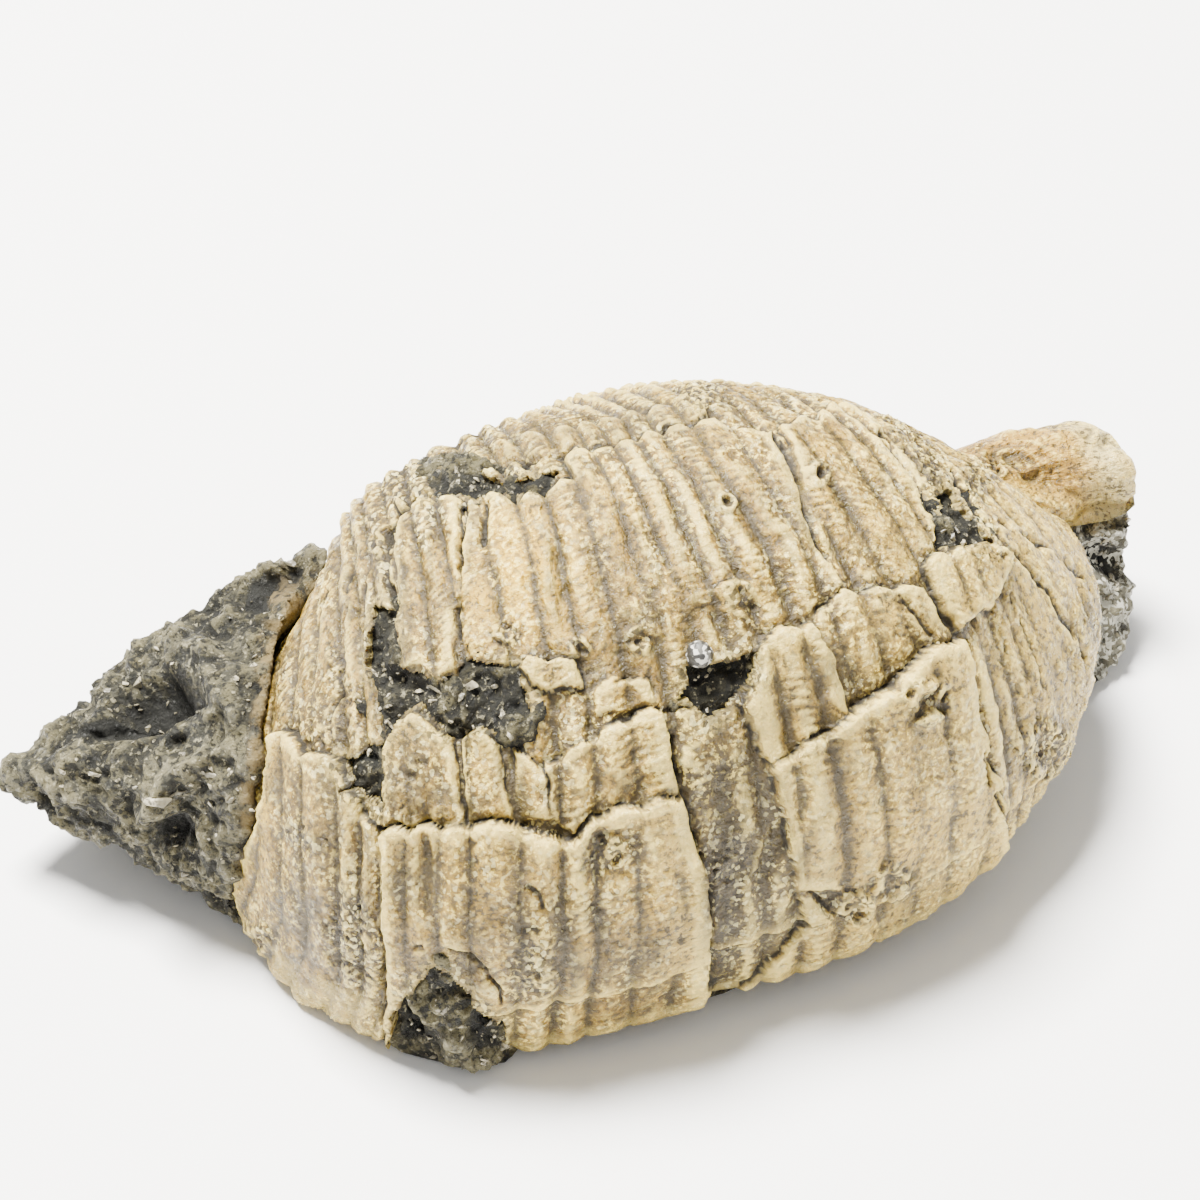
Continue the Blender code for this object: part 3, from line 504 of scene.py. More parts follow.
# Cracks and grooves: (width, depth, course).
CRACKS = [
    (0.3, 0.9, [(-9.9, 6.9), (-10.1, 2.9), (-10.4, -4.3)]),
    (0.45, 0.5, [(-8.3, 7.2), (-8.8, 2.9)]),
    (0.4, 1, [(5.2, -10.1), (6.1, -14.5), (6.8, -17), (8, -21.8), (8.1, -29)]),
    (0.35, 0.7, [(12.5, 11.7), (14.1, 9.1), (15.4, 5.1), (16.4, 2.9)]),
    (0.35, 0.8, [(18.5, 13.8), (21, 11.2), (23.8, 6.9), (25, 2.9)]),
    (0.25, 0.6, [(27.2, -10.7), (27.6, -12.7), (29.2, -16.7), (29.1, -19.6)]),
    (0.6, 0.9, [(-12.7, 7.8), (-15.6, 5.2), (-15.4, 1.4), (-14.8, -0.4)]),
    (0.3, 0.5, [(-14.9, 5.8), (-15.1, 2.9), (-14.5, 0.7), (-14.4, -0.4)]),
    (0.35, 0.5, [(25, 10.1), (27.9, 5.8), (32.3, 0.9), (37.1, -7.2)]),
    (0.3, 0.4, [(29, 5.8), (33.7, 2.9), (37.7, -1.1)]),
    (0.22, 0.25, [(29.7, 0.4), (31.2, -3), (32.3, -6.5)]),
    (0.22, 0.22, [(27.6, 1.4), (29.4, -3), (30.6, -7)]),
    (0.3, 0.45, [(-6.9, 10.1), (-2.4, 10.5), (0, 10.9), (2.7, 11.7), (4.9, 12.5), (8.1, 13)]),
    (0.35, 0.4, [(21.2, 0.5), (22.8, -1.4), (24.3, -3)]),
    (0.25, 0.5, [(-8, -27), (-7.2, -27.9), (-7, -31.2)]),
    (0.25, 0.35, [(-1.4, -5.9), (3.6, -5.6), (4.1, -7.8), (6.7, -7.8)]),
    (0.5, 0.35, [(-5.2, -20.5), (-4.4, -20.9), (-4.1, -21.9), (-3.4, -22.2)]),
    (0.3, 0.35, [(-13, -24.7), (-11.6, -24.5), (-9.4, -25.7), (-8, -26.4)]),
    (0.3, 0.5, [(-19.2, 2.9), (-20.5, -1.5), (-21.3, -7), (-22, -10)]),
    (0.3, 0.5, [(-17.5, 4.5), (-18.5, 0), (-18.9, -5), (-19.6, -9)]),
    (0.3, 0.4, [(-16.3, 4.6), (-17.1, 1), (-17.4, -3.4)]),
    (0.25, 0.4, [(7.9, 0.7), (9.4, 1.6), (10.9, 0), (11.6, -1)]),
    (0.3, 0.4, [(-21.8, -16.6), (-20.2, -16.2), (-19.4, -17.2)]),
    (0.3, 0.4, [(15.2, -21), (16.6, -22.3), (18.8, -22.6)])]

# Stumps of hollow spines: (place, radius, height of the rim, depth of the middle).
SPINES = [
    ((-6.7, -2.4), 0.75, 0.5, -0.2), ((9.2, 7), 0.75, 0.3, 0.5), ((15.8, 8.9), 0.8, 0.35, 0.7),
    ((22.8, -7.2), 1.4, 0.5, 0.5), ((18.1, -21.7), 1.2, 0.7, 0.2), ((20.6, -20), 1.3, 0.4, 0.3),
    ((-24.5, -24.5), 1.1, 0.2, 0.4), ((0.6, -17.9), 1, 0.5, -0.7), ((29, 9.6), 0.7, 0.35, 0.3),
    ((-1.5, -3.4), 0.7, 0.35, 0.2), ((2.9, -3), 0.8, 0.4, 0.3), ((32.4, -11), 1.9, 0.35, 0.4),
    ((10, 0.4), 0.9, 0.3, 0.3)]

# The swollen left shoulder, and the worn place left of the highest point: (share across, half
# width, angle, half span, rise).
BROAD_SWELLS = [(-0.40, 0.12, 89, 20, 1.2), (-0.12, 0.2, 62, 22, -0.6)]

# Swells (+) and dents (-): (place, half width, half height, turn, rise).
SWELLS = [
    ((0.4, -17.9), 2.3, 1.9, 0, -0.7), ((28.3, -9.5), 0.8, 8, 10, 0.55),
    ((-12.4, -18.5), 0.5, 4, 0, -0.6), ((-2.8, 1.8), 0.6, 3.4, 4, -0.35),
    ((16, -21.3), 1.2, 0.7, 0, -0.8), ((-10.2, -26.3), 2.6, 1.4, 0, -0.6),
    ((12.5, -18.5), 0.7, 4.6, -22, -0.5), ((10.6, -20), 0.6, 4, -18, -0.4),
    ((33, 8.8), 2.2, 1.3, 20, -0.45), ((36.8, 11.6), 1.8, 0.7, 15, -0.5),
    ((38.6, 9), 1.4, 1.8, 0, 0.45), ((-20.5, -19), 1.2, 4, 5, 0.3),
    ((10.2, 0.7), 1.3, 0.8, -20, 0.5), ((26.8, 9.6), 1.6, 2.2, -40, 0.5)]

# Brown and crusty places: (place, half width, half height, turn, strength).
STAINS = [
    ((-13.2, 8.4), 3.2, 1.8, 25, 1), ((-7.6, 8.9), 4.6, 0.7, 3, 1), ((-16, 3.4), 0.9, 4, 10, 0.9),
    ((24.2, 9.4), 1.3, 3.6, 38, 1), ((27.6, 4.4), 1.4, 3.4, 40, 1),
    ((-18.6, -6.2), 0.8, 4.8, 10, 0.8), ((-17.6, -24.3), 2, 5, 8, 1),
    ((-4.7, -25.7), 2.2, 3.2, 10, 0.9), ((9.4, -19.6), 2.2, 4.8, -15, 0.9),
    ((16.9, -21.3), 1.8, 1.2, 0, 1), ((-20.2, -17), 2.2, 0.9, -20, 0.8),
    ((-6.9, 8.4), 5.4, 1, 4, 1), ((7.8, 14.7), 2.4, 1.7, 0, 1), ((-13, 6.6), 1.2, 3.4, 8, 1),
    ((26.6, 7.6), 1.4, 5, -38, 1), ((-19.6, -9.4), 1.8, 2.4, 0, 0.8),
    ((10.4, -0.8), 2, 0.8, 0, 0.7), ((19, 0.8), 4.2, 0.9, -8, 0.7),
    ((0.4, -18.2), 2.2, 1.7, 0, 0.8), ((-1, -22.2), 3.4, 2, 20, 0.5),
    ((2.6, -25.2), 4, 1.4, 15, 0.5), ((20.6, -20), 1.8, 1.3, 0, 0.8),
    ((-9, -18.6), 2.6, 3, 0, 0.35), ((-13.6, -13), 1, 3, 0, 0.5), ((-1, -9.4), 3.6, 1.6, 0, 0.4),
    ((-9.4, 12.2), 3, 1.6, 30, 0.8), ((13.5, 15), 2.6, 1.4, -10, 0.6),
    ((22, 13), 1.4, 3.2, 40, 0.9), ((32.4, -11), 1.8, 1.8, 0, 0.5),
    ((14.6, -10.6), 4, 0.6, 38, 0.6), ((-15.4, -16.2), 3, 0.7, -5, 0.6),
    ((8.6, -25.8), 1, 2.4, 0, 0.8), ((22, -23.2), 4.5, 1, 22, 0.4),
    ((13, -25.8), 4.5, 0.9, 8, 0.4), ((35.5, -1.5), 1, 5, -32, 0.6),
    ((-22.6, -6.5), 0.9, 4.5, 12, 0.6)]
# Brown bands, mostly down the furrows between ribs, and broad painted shade over the left dome, the
# left flank and the top.
BANDS_AND_PAINTED_SHADE = [
    ((-13.8, -20.6), 0.8, 3.8, 0, 0.9), ((-11.9, -19.6), 0.7, 3.4, 0, 0.8),
    ((-5.8, -21.8), 1, 4.4, 3, 0.9), ((-2.9, -23.9), 1.1, 4, 6, 0.9),
    ((0.2, -24.8), 0.8, 3.4, 8, 0.8), ((3.2, -25), 0.7, 3, 8, 0.7),
    ((8.3, -18.2), 0.9, 6.4, -8, 1), ((9.9, -17.6), 0.7, 5.6, -12, 0.9),
    ((11.4, -18.6), 0.6, 5.4, -14, 0.9), ((14.2, -18.6), 0.7, 4.6, -18, 0.7),
    ((17, -17), 0.6, 4, -22, 0.5), ((12.6, -7.6), 1.6, 2.6, -10, 0.6),
    ((16.6, -5.2), 2.6, 1.4, -35, 0.6), ((-14.5, -12), 0.6, 2.8, 0, 0.8),
    ((-12.9, -10.6), 0.6, 2.8, 0, 0.7), ((-11, -14.8), 2.4, 0.9, 0, 0.6),
    ((-7.2, -12.6), 0.5, 2.8, 0, 0.9), ((-5.7, -14.2), 0.6, 1.8, 0, 0.9),
    ((-3.2, -13.6), 0.8, 1.8, 0, 0.7), ((-13.9, 0.7), 0.5, 5.6, 2, 1), ((-12, 0), 0.5, 5, 0, 0.9),
    ((-9.2, 5.4), 0.5, 3.4, 2, 0.9), ((-3.6, 1.4), 0.6, 5, 4, 0.8), ((-1, 4.4), 0.6, 3.4, 8, 0.6),
    ((1.6, -0.2), 0.6, 4.4, 8, 0.7), ((3.9, -0.6), 0.8, 4, 12, 0.8), ((6.6, 1), 0.6, 4.6, 14, 0.6),
    ((8.9, 4.6), 0.5, 5, 16, 0.5), ((4, -2.2), 4, 0.9, 4, 0.6), ((14.4, 6), 0.5, 4.6, 18, 0.8),
    ((18.4, 6.6), 0.5, 5, 24, 0.5), ((-18.6, -14), 1.6, 4.6, 4, 0.8),
    ((-20.8, -22), 1.4, 5, 6, 0.7), ((-16.6, -19.6), 0.7, 6, 0, 0.8),
    ((-22.6, -13), 1.2, 4, 8, 0.5), ((-6, 10.4), 4.6, 0.8, 10, 0.6),
    ((13, -23.6), 3, 1.6, 10, 0.7), ((22.4, -21.6), 3, 1.6, 28, 0.5),
    ((-18.9, 3), 0.5, 4.6, 12, 0.7), ((-20.9, -3), 0.5, 5, 10, 0.7),
    ((-16.8, 0.6), 3, 6.6, 14, 0.6), ((-21.2, -4.5), 2.2, 6.5, 12, 0.5),
    ((-19.6, -15.5), 3, 5.5, 4, 0.6), ((-20, -24), 4, 5.5, 6, 0.48),
    ((0.5, 12.6), 8.5, 1.9, 8, 0.65), ((-9, -24.5), 4, 4, 0, 0.42), ((2.8, -24.5), 4, 3, 12, 0.34),
    ((9.5, -3), 6, 3, 20, 0.2), ((13.5, -16.5), 3.5, 6.5, -25, 0.22),
    ((-12, 11), 4.5, 2.4, 35, 0.42)]
# Painted glow: warm, honey-coloured places painted brighter, as light shining through the calcite.
PAINTED_GLOWS = [
    ((-5.6, 1.8), 4.2, 4.8, 0, 1), ((2.6, -21), 3.6, 3, 0, 0.6), ((-8, -19.5), 4.4, 3, 0, 0.5),
    ((31.6, 10.2), 3.6, 2.2, 0, 1), ((20, -15.5), 5, 3.5, 20, 0.35)]


def curve_through(points, position):
    """A smooth curve through the points that never overshoots them."""
    places, values = np.array(points, float).T
    spans = np.diff(places)
    slopes = np.diff(values) / spans
    before, after = slopes[:-1], slopes[1:]
    total = np.where(before * after > 0, before + after, 1.0)
    inner = np.where(before * after > 0, 2 * before * after / total, 0.0)
    tangents = np.concatenate((slopes[:1], inner, slopes[-1:]))
    left = np.clip(np.searchsorted(places, position) - 1, 0, len(spans) - 1)
    t = np.clip((position - places[left]) / spans[left], 0, 1)
    return ((1 + 2 * t) * (1 - t) ** 2 * values[left]
            + t * (1 - t) ** 2 * spans[left] * tangents[left]
            + t * t * (3 - 2 * t) * values[left + 1]
            + t * t * (t - 1) * spans[left] * tangents[left + 1])


def cross_section(across, angle, wall=0.0):
    """Half width and radius of the valve at an angle about the hinge line.

    across runs from -1 at the left ear to 1 at the right.  wall moves the body inwards.
    """
    left = across < 0
    share = np.abs(across)
    sweep = np.clip(share / BODY_SHARE, 0, 1) * np.pi / 2
    low = ease(angle, 110, 190)
    squareness = np.where(left, 2.2 + 0.8 * low, 2.3)
    roundness = np.where(left, 2.2 + 1.2 * low, 1.8 + 0.2 * low)
    reach = np.where(left, curve_through(LEFT_REACHES, angle), curve_through(RIGHT_REACHES, angle))
    radius = curve_through(MIDLINE_RADII, angle)
    inset = np.minimum(wall, 0.4 * radius)
    ear = np.minimum(np.where(left, EAR_RADII["left"], EAR_RADII["right"]), 0.8 * radius)
    ear = np.maximum(ear - inset, 0.3)
    reach = reach - inset
    radius = radius - inset
    width = reach * np.sin(sweep) ** (2 / squareness)
    height = ear + (radius - ear) * np.cos(sweep) ** (2 / roundness)
    outer = np.clip((share - BODY_SHARE) / (1 - BODY_SHARE), 0, 1)
    tip = np.maximum(np.where(left, EAR_TIPS["left"], EAR_TIPS["right"]), reach + EAR_LEAST)
    swell = np.where(left, EAR_SWELLS["left"], EAR_SWELLS["right"]) * ease(outer)
    taper = np.where(left, EAR_TAPER["left"], EAR_TAPER["right"])
    rounding = np.sqrt(1 - np.clip((outer - EAR_ROUNDING) / (1 - EAR_ROUNDING), 0, 1) ** 2)
    return width + outer * (tip - reach), height * (1 + swell - taper * outer ** 3) * rounding


def front_angle(across):
    """Angle of the front margin about the hinge line."""
    return np.where(across < 0, curve_through(FRONT_ANGLES["left"], np.abs(across)),
                    curve_through(FRONT_ANGLES["right"], np.abs(across)))


def valve_points(across, along, wall=0.0):
    """Points of the valve; along runs from 0 at the back edge to 1 at the front margin."""
    angle = BACK_ANGLE + (front_angle(across) - BACK_ANGLE) * along
    width, radius = cross_section(across, angle, wall)
    turn = np.radians(angle)
    return np.stack((np.sign(across) * width, HINGE_Y + radius * np.cos(turn),
                     HINGE_Z + radius * np.sin(turn)), -1), angle


def outward_normals(across, along):
    """Unit normals of the smooth valve, from small steps along its surface."""
    step = 0.004
    right = valve_points(np.minimum(across + step, 1), along)[0]
    left = valve_points(np.maximum(across - step, -1), along)[0]
    front = valve_points(across, np.minimum(along + step, 1))[0]
    back = valve_points(across, np.maximum(along - step, 0))[0]
    normals = np.cross(front - back, right - left)
    return normals / np.maximum(np.linalg.norm(normals, axis=1, keepdims=True), 1e-9)


def distance_to_run(x, y, ax, ay, bx, by):
    """Distance from one straight run of a line."""
    run_x, run_y = bx - ax, by - ay
    t = np.clip(((x - ax) * run_x + (y - ay) * run_y) / (run_x ** 2 + run_y ** 2), 0, 1)
    return np.hypot(x - ax - t * run_x, y - ay - t * run_y)


REACH = 2.0      # how far from an outline or a crack its distances are worked out


def close_by(x, y, corners):
    """Indices of the places within reach of the corners' box."""
    low, high = np.min(corners, axis=0) - REACH, np.max(corners, axis=0) + REACH
    return np.flatnonzero((x > low[0]) & (x < high[0]) & (y > low[1]) & (y < high[1]))


def distance_inside(x, y, outline):
    """Distance from an outline's edge, positive inside it; -REACH where it is far away."""
    near = close_by(x, y, outline)
    nx, ny = x[near], y[near]
    nearest = np.full(nx.shape, REACH)
    inside = np.zeros(nx.shape, bool)
    for (ax, ay), (bx, by) in zip(outline, outline[1:] + outline[:1]):
        nearest = np.minimum(nearest, distance_to_run(nx, ny, ax, ay, bx, by))
        if ay != by:
            inside ^= ((ay > ny) != (by > ny)) & (nx < (bx - ax) * (ny - ay) / (by - ay) + ax)
    result = np.full(x.shape, -REACH)
    result[near] = np.where(inside, nearest, -nearest)
    return result


def distance_to_line(x, y, course):
    """Distance from a bent line; REACH where it is far away."""
    near = close_by(x, y, course)
    result = np.full(x.shape, REACH)
    for (ax, ay), (bx, by) in zip(course, course[1:]):
        result[near] = np.minimum(result[near], distance_to_run(x[near], y[near], ax, ay, bx, by))
    return result


def rib_position(across):
    """Number of ribs between the midline and a place across the valve."""
    samples = np.linspace(-1, 1, 801)
    width, radius = cross_section(samples, np.full(samples.shape, 125.0))
    step_x = np.diff(np.sign(samples) * width)
    lengths = np.concatenate(([0.0], np.cumsum(np.hypot(step_x, np.diff(radius)))))
    lengths -= np.interp(0.0, samples, lengths)
    return np.interp(across, samples, lengths) / RIB_SPACING


def patches(x, y, places):
    """The largest share of soft oval patches: (place, half width, half height, turn, strength)."""
    total = np.zeros(len(x))
    for place in places:
        form = place[4] * np.exp(-oval(x, y, place) ** 1.5)
        total = np.where(np.abs(form) > np.abs(total), form, total)
    return total


def grid_thing(name):
    """A new object with a flat grid, ready to be laid round the valve."""
    thing = new_thing(name)
    with reshaping(thing.data) as bm:
        bmesh.ops.create_grid(bm, x_segments=SHELL_GRID[0], y_segments=SHELL_GRID[1], size=1.0)
    return thing


def place_points(mesh, points):
    """Moves the mesh's vertices to these places, in millimetres."""
    mesh.vertices.foreach_set("co", (points * MM).astype(np.float32).ravel())


valve = grid_thing("Valve")
x, y = (read_points(valve.data) * MM).T[:2]
across, along = x, (1 - y) / 2
points, angle = valve_points(across, along)
normals = outward_normals(across, along)
sketch_x, sketch_y, facing = on_sketch(points, normals)
body = 1 - ease(np.abs(across), 0.70, 0.80)
grown = ease(angle, -35, 20)
rear = 1 - ease(angle, 70, 105)
radius = cross_section(across, angle)[1]
tip = 1 - ease(np.abs(across), 0.98, 0.998)
blots = grain(points, 1.5, 15)
small_blots = grain(points, 0.75, 16)
slow = grain(points, 3.2, 20)

# Ribs, the wrinkles that cross them on the older half, and the knobs where the two meet.
rib = (rib_position(across) + 0.16 * grain(points, 9.0, 5) + 0.06 * slow
       + 0.22 * np.sin(across * 19 + 0.6) + 0.10 * np.sin(across * 47))
crest = np.abs(np.sin(np.pi * rib))
rib_strength = np.clip(0.85 + 0.9 * grain(points, 6.0, 6) + 0.35 * np.sin(7.3 * np.floor(rib)),
                       0.15, 1.7) * (1 - 0.35 * ease(sketch_x, 10, 30))
phase = 2 * np.pi * np.radians(angle) * radius      # a full turn for each millimetre forwards
wrinkle = np.sin(phase / WRINKLE_SPACING + 1.4 * grain(points, 4.0, 7))
knobs = (0.5 + 0.5 * wrinkle) * crest
height = body * grown * (RIB_DEPTH * rib_strength * (crest - 1)
                         + rear * (0.55 * (knobs - 1) + 0.25 * blots))
height += (body * grown * (1 - rear) * 0.07 * np.sin(phase / GROWTH_LINE_SPACING + 2.2 * slow)
           * ease(slow, -0.4, 0.5))

# Lapping layers, with ragged edges that are scalloped by the ribs.
ragged_x = sketch_x + 0.42 * grain(points, 2.5, 8) + 0.13 * grain(points, 1.0, 9)
ragged_y = (sketch_y + 0.42 * grain(points, 2.5, 10) + 0.13 * grain(points, 1.0, 11)
            - 0.40 * (crest - 0.6))
layer_height = np.zeros(len(points))
edge = np.zeros(len(points))
shade_and_dirt = np.zeros(len(points))
under = np.zeros(len(points))
shade_below = 0.26 + 0.34 * ease(slow, -0.1, 0.7)
lip = 0.14 + 0.42 * ease(blots, -0.5, 0.7)
for rise, left_over, outline in LAYERS:
    top = max(place[1] for place in outline)
    drop = top - min(place[1] for place in outline)
    fade = 1 - (1 - left_over) * np.clip((top - sketch_y) / drop, 0, 1)
    inside = distance_inside(ragged_x, ragged_y, outline)
    layer_height = np.maximum(layer_height, 1.25 * rise * fade * ease(inside, -0.16, 0.20))
    proud = ease(fade * rise, 0.15, 0.5)
    # Along each raised upper edge a painted highlight, partly the colour of fresh breaks, and just
    # below it a line of painted shade.
    bright = proud * ease(inside, -0.08, 0.05) * (1 - ease(inside, 0.3 * lip, lip))
    edge = np.maximum(edge * (1 - ease(inside, 0.4, 0.8)), bright)
    dark = proud * ease(inside, -shade_below, -0.08) * (1 - ease(inside, -0.08, 0.05))
    shade_and_dirt = np.maximum(shade_and_dirt * (1 - ease(inside, 0.0, 0.2)), dark)
    under = np.maximum(under * (1 - ease(inside, -0.1, 0.1)),
                       proud * ease(inside, -1.7, -0.1) * (1 - ease(inside, -0.1, 0.05)))
patchy = ease(grain(points, 2.2, 27), -0.45, 0.25)
edge *= 0.12 + 0.88 * patchy
height += facing * (layer_height + 0.10 * edge * (1 + blots) - 0.16 * shade_and_dirt)

# Cracks, stumps of spines, swells and dents, and the crust of dirt and small crystals.
crack_x = sketch_x + 0.24 * grain(points, 1.7, 12) + 0.10 * grain(points, 0.5, 13)
crack_y = sketch_y + 0.24 * grain(points, 1.7, 14)
crack = np.zeros(len(points))
broken = 0.35 * ease(grain(points, 2.4, 30), 0.0, 0.4)
for width, depth, course in CRACKS:
    away = distance_to_line(crack_x, crack_y, course) + broken * min(1, 0.5 / depth)
    height -= facing * depth * (1 - ease(away, 0.0, width))
    crack = np.maximum(crack, min(1, 0.35 + depth) * (1 - ease(away, 0.1 * width, 0.8 * width)))
stump = np.zeros(len(points))
for (middle_x, middle_y), size, rim, middle in SPINES:
    away = np.hypot(crack_x - middle_x, crack_y - middle_y) / size
    ring = np.exp(-((away - 0.85) / 0.3) ** 2)
    pit = 1 - ease(away, 0.2, 0.8)
    height += facing * (rim * ring * (0.5 + 1.1 * small_blots) - 0.5 * middle * pit)
    stump = np.maximum(stump, 1 - ease(away, 1.0, 1.5))
    if middle > 0:
        crack = np.maximum(crack, 0.35 * pit)
height += facing * patches(crack_x, crack_y, SWELLS)
for place, width, turn, span, rise in BROAD_SWELLS:
    height += rise * np.exp(-((across - place) / width) ** 2 - ((angle - turn) / span) ** 2)
neck = ease(across, 0.71, 0.79) * (1 - 0.75 * ease(across, 0.84, 0.95))
height -= 1.2 * neck * ease(angle, 0, 40)
uneven = along + 0.004 * slow
ledge = body * ease(uneven, 0.957, 0.960) * ease(sketch_x, -18, -8)
height -= 0.32 * ledge
# Above the ledge near the margin a painted highlight, below it painted shade; the front margin is
# painted bright too.
edge = np.maximum(edge, 0.7 * body * ease(uneven, 0.950, 0.956) * (1 - ledge) * patchy)
shade_and_dirt = np.maximum(shade_and_dirt, 0.7 * ledge * (1 - ease(uneven, 0.960, 0.964)) * patchy)
edge = np.maximum(edge, 0.8 * body * ease(along, 0.988, 0.996))
patchy_x = sketch_x + 0.9 * slow + 0.5 * blots
patchy_y = sketch_y + 0.9 * grain(points, 3.2, 22) + 0.5 * small_blots
stain_and_shade = facing * patches(patchy_x, patchy_y, STAINS)
stain_and_shade = np.maximum(stain_and_shade, 0.55 * rear * ease(grain(points, 4.5, 23), -0.1, 0.5))
stain_and_shade = np.maximum(stain_and_shade, 0.8 * facing * stump)
# Painted shade: a soft brown below each raised layer edge, laid in with the stains.
stain_and_shade = np.maximum(stain_and_shade, 0.5 * facing * under * ease(slow + blots, -0.5, 0.5))
smooth = 1 - 0.6 * (1 - body)
height += tip * 0.42 * grain(points, 7.5, 28)
height += tip * smooth * (0.13 * blots + 0.08 * small_blots + 0.04 * grain(points, 0.4, 17))
height += tip * (stain_and_shade + 0.5 * shade_and_dirt * facing) * (
    0.24 * (1 - 2.4 * np.abs(small_blots)) + 0.14 * grain(points, 0.45, 24))
ear = 1 - body
streaks = grain(points * np.array([0.3, 1.0, 1.0]), 1.5, 26)
facets = grain(points, 4.5, 25)
height += tip * ear * (0.5 * (np.floor(2.5 * facets) + ease(2.5 * facets % 1, 0.3, 0.7)) / 1.5
                       + 0.22 * streaks - 0.1)


def blurred(values, reach):
    """The values averaged over this many steps of the grid to each side, twice over."""
    sheet = values.reshape(rows, -1)
    for axis, span in ((0, max(1, round(0.6 * reach))), (1, reach)) * 2:
        edges = [(span + 1, span) if this == axis else (0, 0) for this in (0, 1)]
        total = np.cumsum(np.pad(sheet, edges, mode="edge"), axis=axis)
        size = sheet.shape[axis]
        later = np.take(total, range(2 * span + 1, 2 * span + 1 + size), axis=axis)
        sheet = (later - np.take(total, range(size), axis=axis)) / (2 * span + 1)
    return sheet.ravel()


rows = int(np.count_nonzero(x == x[0]))
# Height against the neighbours, fine and broad; the finish paints raised places lighter and low
# places darker, as light and shade.
near_level = blurred(height, 3)
fine_relief = 0.5 + (height - near_level) / 0.32
broad_relief = 0.5 + (near_level - blurred(near_level, 12)) / 0.9
points += normals * height[:, None]
broken_end = RIGHT_EAR_END - 0.10 * (points[:, 2] - HINGE_Z) + 0.5 * blots + 0.25 * small_blots
points[:, 0] = np.minimum(points[:, 0], broken_end)

# Faces in the holes are taken out, and the skin is thinned.
hole = np.zeros(len(points))
hole_x = sketch_x + 0.35 * grain(points, 1.9, 8) + 0.24 * grain(points, 0.8, 9)
hole_y = sketch_y + 0.35 * grain(points, 1.9, 10) + 0.24 * grain(points, 0.8, 11)
near_hole = np.zeros(len(points))
for outline in HOLES:
    inside = distance_inside(hole_x, hole_y, outline)
    hole = np.maximum(hole, (facing > 0.5) & (inside > 0))
    near_hole = np.maximum(near_hole, facing * ease(inside, -0.26, -0.04))
    stain_and_shade = np.maximum(stain_and_shade, 0.85 * facing * ease(inside, -1.3, -0.2) * (0.55 + 0.45 * patchy))
    edge = np.maximum(edge, 0.7 * ease(inside, -0.8, -0.3) * patchy)
add_masks(valve.data, {
    "crest": crest * body, "edge": edge * facing, "stain_and_shade": stain_and_shade, "rear": rear * body, "ear": ear,
    "end": ear * ease(points[:, 0] + 1.2 * slow, 41.0, 45.0),
    # Painted shade in the cracks, the pits of the spine stumps, below the layer edges and the
    # ledge, and round the holes.
    "shade_and_dirt": np.maximum(np.maximum(shade_and_dirt, crack) * facing, 0.5 * near_hole),
    "bands_and_painted_shade": facing * patches(sketch_x + 0.4 * slow + 0.3 * blots, sketch_y + 0.8 * slow, BANDS_AND_PAINTED_SHADE),
    "painted_glow": facing * patches(patchy_x, patchy_y, PAINTED_GLOWS),
    # Right side of the valve painted lighter, with paler furrows, as light falling on it.
    "painted_light_right": ease(sketch_x - 0.25 * sketch_y, 12, 32) * facing,
    "fine relief": fine_relief, "broad relief": broad_relief,
    "rib": 0.5 + (rib * RIB_SPACING) / RIB_SPAN, "run": (angle - RUN_START) / RUN_SPAN,
    "across": 0.5 + 0.5 * across, "along": along, "inner": 0 * along})
place_points(valve.data, points - MIDDLE)
with reshaping(valve.data) as bm:
    missing = [face for face in bm.faces if all(hole[corner.index] for corner in face.verts)]
    bmesh.ops.delete(bm, geom=missing, context="FACES")
thin_out(valve, OUTSIDE_TRIANGLES)

# Limestone in the gaps: a rough skin a little below the valve's, made from the same grid.
fill = grid_thing("Limestone_in_the_gaps")
sunk = valve_points(across, along)[0]
inwards = outward_normals(across, along)
fill_height, deep, hollow = rock_fields(sunk - MIDDLE, inwards)
low = np.zeros(len(sunk))
wanted = np.zeros(len(sunk), bool)
for level, outline in zip(GAP_LEVELS, HOLES):
    inside = distance_inside(sketch_x, sketch_y, outline)
    wanted |= (facing > 0.3) & (inside > -1.1)
    low = np.where(inside > -1.5, np.maximum(low, level), low)
sunk += inwards * (0.8 * fill_height + 0.30 * grain(sunk, 1.1, 29) - low)[:, None]
# The limestone in the gaps is marked deeper, so that it is painted darker, as shade down in the
# holes.
add_masks(fill.data, {"deep": deep + 0.4, "hollow": 0 * deep, "wedge": 0 * deep,
                      "film": 0 * deep, "painted_light_and_crystals": 0 * deep})
place_points(fill.data, sunk - MIDDLE)
with reshaping(fill.data) as bm:
    unwanted = [face for face in bm.faces
                if not all(wanted[corner.index] for corner in face.verts)]
    bmesh.ops.delete(bm, geom=unwanted, context="FACES")
    loose = [corner for corner in bm.verts if not corner.link_faces]
    bmesh.ops.delete(bm, geom=loose, context="VERTS")
    bm.normal_update()
    copied = bmesh.ops.extrude_face_region(bm, geom=bm.faces[:], use_keep_orig=True)["geom"]
    centre = Vector((0.0, HINGE_Y, HINGE_Z)) * MM
    for part in copied:
        if isinstance(part, bmesh.types.BMVert):
            inward = Vector((0.0, centre.y - part.co.y, centre.z - part.co.z)).normalized()
            part.co += inward * GAP_DEPTH * MM
    bmesh.ops.recalc_face_normals(bm, faces=bm.faces)
thin_out(fill, GAP_TRIANGLES)
write_points(fill.data, read_points(fill.data))
fill.data.shade_smooth()
fill.data.materials.append(limestone)
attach(fill, "root")

